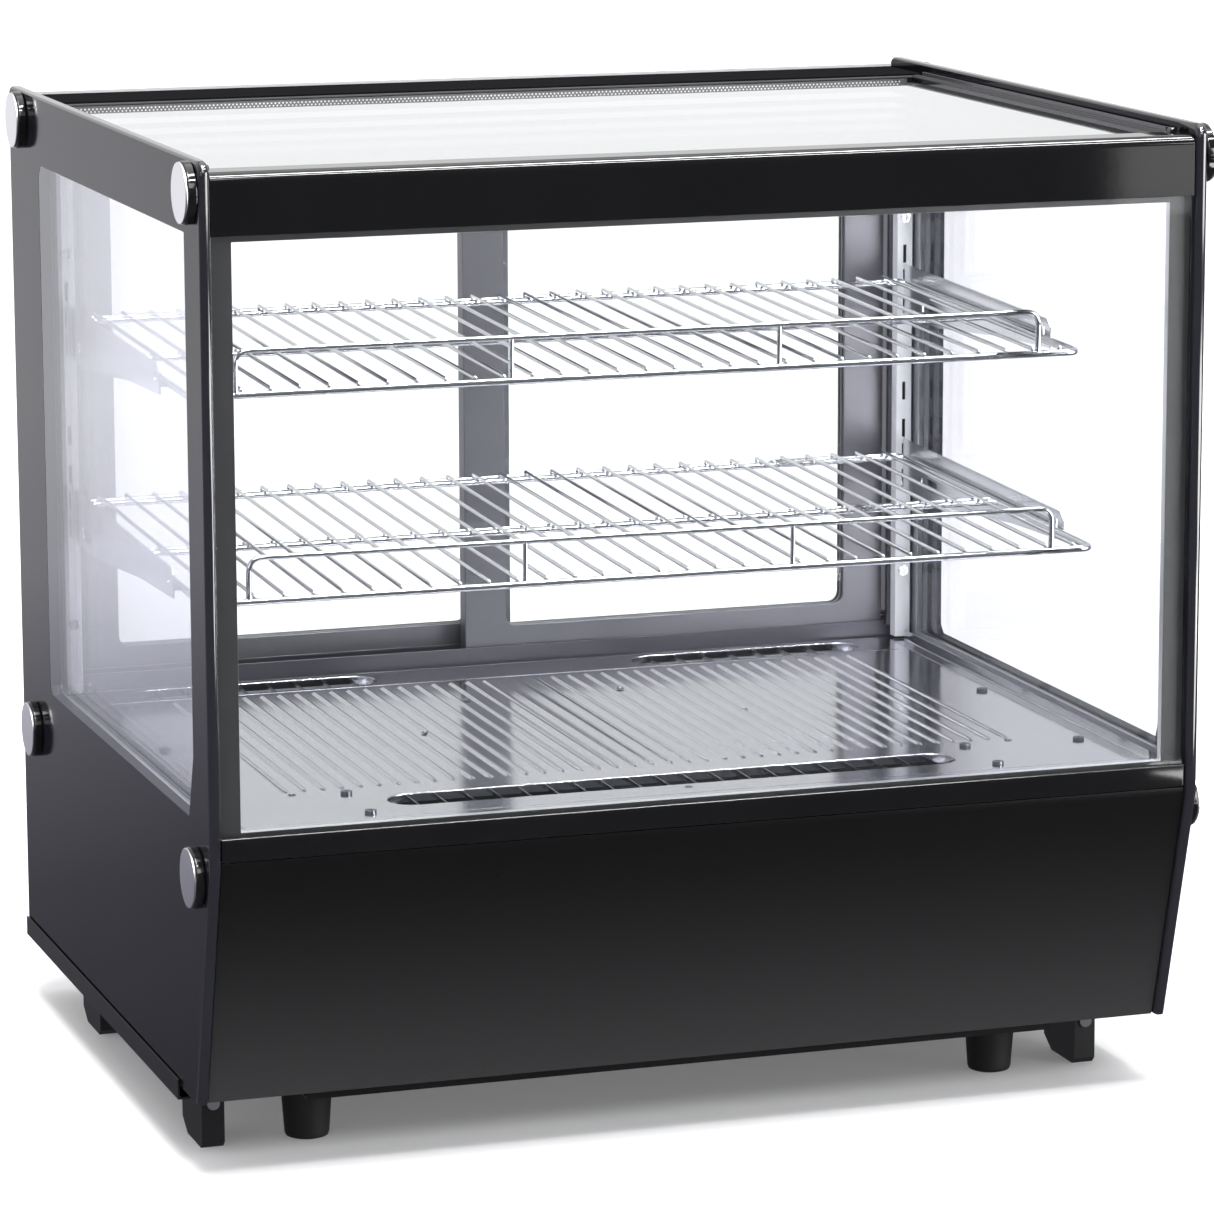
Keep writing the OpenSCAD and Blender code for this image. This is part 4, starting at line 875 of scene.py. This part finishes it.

# Rivets in the deck: hollow steel rivets with low, rounded heads, set through the sheet.
# Each pair in the profile is a radius and a height above the sheet.
# Painted shade: rivets and vanes take a dark copy of the deck's stainless steel, for the dark rivet marks on
# the deck and the shade down in the air slots.
shade_painted_stainless = metal("shaded_stainless", (0.20, 0.20, 0.22), 0.25)
RIVET_PROFILE, RIVET_SIDES = ((0.0030, 0.0), (0.0024, 0.0005), (0.0014, 0.0007), (0.0009, 0.0002)), 16
RIVETS = ((-0.121, 0.0), (0.121, 0.0), (-0.0595, 0.100), (0.0595, 0.100),
          (0.0, -0.2225), (0.262, -0.158), (-0.262, -0.158))
verts, faces = [], []
for x, y in RIVETS:
    on_ribs = RIB_FRONT < y < RIB_BACK
    ground = DECK_TOP + (RIB_RISE * 0.6 if on_ribs else 0.0)
    for step, (r, up) in enumerate(RIVET_PROFILE):
        base = len(verts)
        turn = [math.tau * k / RIVET_SIDES for k in range(RIVET_SIDES)]
        verts += [(x + r * math.cos(t), y + r * math.sin(t), ground + up) for t in turn]
        for k in range(RIVET_SIDES if step else 0):
            j = (k + 1) % RIVET_SIDES
            faces.append((base - RIVET_SIDES + k, base - RIVET_SIDES + j, base + j, base + k))
    faces.append(tuple(range(base, base + RIVET_SIDES)))
add_piece("deck_rivets", "deck", shade_painted_stainless, verts, faces)

# Louvre vanes: thin steel strips set across each air slot, curved so that the cold air is
# turned to one side as it comes up. They are spot welded under the sheet.
VANE_PITCH, VANE_HALF, VANE_LEAN, VANE_DEPTH, VANE_DROP, VANE_STEPS = 0.020, 0.0004, 0.006, 0.007, 0.0006, 6
verts, faces = [], []
for x0, x1, y in SLOTS:
    straight = x1 - x0 - 2 * SLOT_R
    count = round(straight / VANE_PITCH)
    for i in range(count + 1):
        x = x0 + SLOT_R + i * straight / count
        base = len(verts)
        for t in range(VANE_STEPS + 1):
            lean = VANE_LEAN * (t / VANE_STEPS) ** 2
            z = DECK_TOP - VANE_DROP - VANE_DEPTH * t / VANE_STEPS
            for thick in (-VANE_HALF, VANE_HALF):
                for end in (-1, 1):
                    verts.append((x + lean + thick, y + end * (SLOT_R - LIP_R), z))
        for c in range(base, base + 4 * VANE_STEPS, 4):
            faces += [(c, c + 1, c + 5, c + 4), (c + 2, c + 6, c + 7, c + 3)]
            faces += [(c, c + 4, c + 6, c + 2), (c + 1, c + 3, c + 7, c + 5)]
        last = base + 4 * VANE_STEPS
        faces += [(base, base + 2, base + 3, base + 1), (last, last + 1, last + 3, last + 2)]
# The vanes take the dark painted shade steel, for the shade down in the slots.
add_piece("deck_vanes", "deck", shade_painted_stainless, verts, faces)

# Tub and front sill: the tub under the deck is foam between white painted sheets. The sill
# strip is folded stainless steel and closes the joint between deck and front panes.
liner = lacquer("white_liner", (0.72, 0.73, 0.74), 0.45, smudge=0.08)
dress("insulated_tub", liner)
eased("front_sill_strip", 0.0003, steel)

# Rear doors: black anodised aluminium frames pressed round two clear panes. They slide in
# the tracks on white nylon glides.
door_finish = metal("black_door_frame", (0.175, 0.174, 0.188), 0.38, (1.0, 1.0, 0.05), depth=0.000006)
nylon = lacquer("white_nylon", (0.78, 0.78, 0.75), 0.45)
for side in ("left", "right"):
    eased(side + "_door_frame", 0.0008, door_finish, steps=2)
    dress(side + "_door_glass", pane_glass)
    dress(side + "_door_glides", nylon)

# LED lamp under the rear of the top glass: a pale aluminium channel with small square
# diodes in two rows behind a clear cover.
LAMP_LOW, LAMP_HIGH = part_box("led_lamp")
DIODES, DIODE_ROWS, ROW_GAP, LAMP_END, LAMP_EDGE = 101, 2, 0.008, 0.018, 0.005
DIODE_PROFILE = ((-0.0002, 0.0015), (0.0002, 0.0015), (0.0004, 0.0011))
lamp_finish = metal("lamp_channel", (0.55, 0.55, 0.57), 0.35, (0.2, 1.0, 1.0))
eased("led_lamp", 0.0008, lamp_finish, steps=3)
material, tree = new_finish("diode")
at = tree.node("TexCoord", {}, {}, "Object")
phosphor = cloud(at, 0.002)
close_finish(material, tree.node("BsdfPrincipled", {}, {
    "Base Color": shade_between(at, phosphor, (0.85, 0.82, 0.62), (0.95, 0.93, 0.80)),
    "Roughness": 0.25 + phosphor * 0.1, "Emission Color": (1.0, 0.98, 0.92), "Emission Strength": 0.4}))
verts, faces = [], []
for row in range(DIODE_ROWS):
    for i in range(DIODES):
        x = LAMP_LOW.x + LAMP_END + i * (LAMP_HIGH.x - LAMP_LOW.x - 2 * LAMP_END) / (DIODES - 1)
        y = LAMP_LOW.y + LAMP_EDGE + row * ROW_GAP
        base = len(verts)
        for up, w in DIODE_PROFILE:
            z = LAMP_HIGH.z + up
            verts += [(x - w, y - w, z), (x + w, y - w, z), (x + w, y + w, z), (x - w, y + w, z)]
        for k in (0, 4):
            faces += [tuple(base + k + j for j in (a, (a + 1) % 4, (a + 1) % 4 + 4, a + 4)) for a in range(4)]
        faces += [tuple(base + j for j in range(4)), tuple(base + 8 + j for j in range(4))]
add_piece("lamp_diodes", "led_lamp", material, verts, faces)

# Base: a folded pan of painted steel stands on moulded corner blocks, which are screwed up
# into it, and on four round rubber feet.
panel_black = lacquer("satin_black_panel", (0.006, 0.006, 0.0062), 0.30, specular=0.3, ripple=0.00002,
                      smudge=0.06)
rubber = lacquer("black_rubber", (0.010, 0.010, 0.010), 0.62, specular=0.35, ripple=0.00015, smudge=0.12)
block_finish = lacquer("black_block", (0.007, 0.007, 0.0075), 0.38, ripple=0.00006, smudge=0.08)
eased("base_pan", 0.0004, panel_black)
eased("corner_blocks", 0.0012, block_finish, steps=3)
dress("round_feet", rubber)

# Back of the case: a louvred panel of painted steel, screwed on. A moulded fascia is let
# into it, with three keys and two rockers, and the cord's gland is below.
plastic = lacquer("black_plastic", (0.012, 0.012, 0.013), 0.42, ripple=0.00008, smudge=0.08)
eased("rear_panel", 0.0003, panel_black)
eased("control_fascia", 0.0008, plastic, steps=3)
eased("cable_gland", 0.0006, plastic)
key_finish = lacquer("grey_key", (0.28, 0.28, 0.30), 0.40, smudge=0.08)
for node in ("set_button", "up_button", "down_button"):
    eased(node, 0.0004, key_finish)
eased("power_rocker", 0.0005, lacquer("green_key", (0.02, 0.30, 0.07), 0.25))
eased("light_rocker", 0.0005, lacquer("black_key", (0.01, 0.01, 0.01), 0.30))

# Machinery: compressor, condenser and evaporator coils with their fans, copper pipes, and
# the tray that dries the drained water.
shell_black = lacquer("compressor_enamel", (0.008, 0.008, 0.009), 0.28, ripple=0.0001)
coil = metal("coil_aluminium", (0.62, 0.62, 0.65), 0.32, vary=0.15)
copper = metal("copper_pipe", (0.80, 0.38, 0.22), 0.28, vary=0.2, wear=0.1)
fan_grey = metal("fan_aluminium", (0.66, 0.66, 0.69), 0.35)
for node, finish in (("compressor", shell_black), ("condenser", coil), ("evaporator", coil),
                     ("condenser_fan_shroud", panel_black), ("condenser_fan_blade", fan_grey),
                     ("evaporator_fan_frame", plastic), ("evaporator_fan_blade", fan_grey),
                     ("refrigerant_pipes", copper), ("condensate_tray", plastic)):
    dress(node, finish)
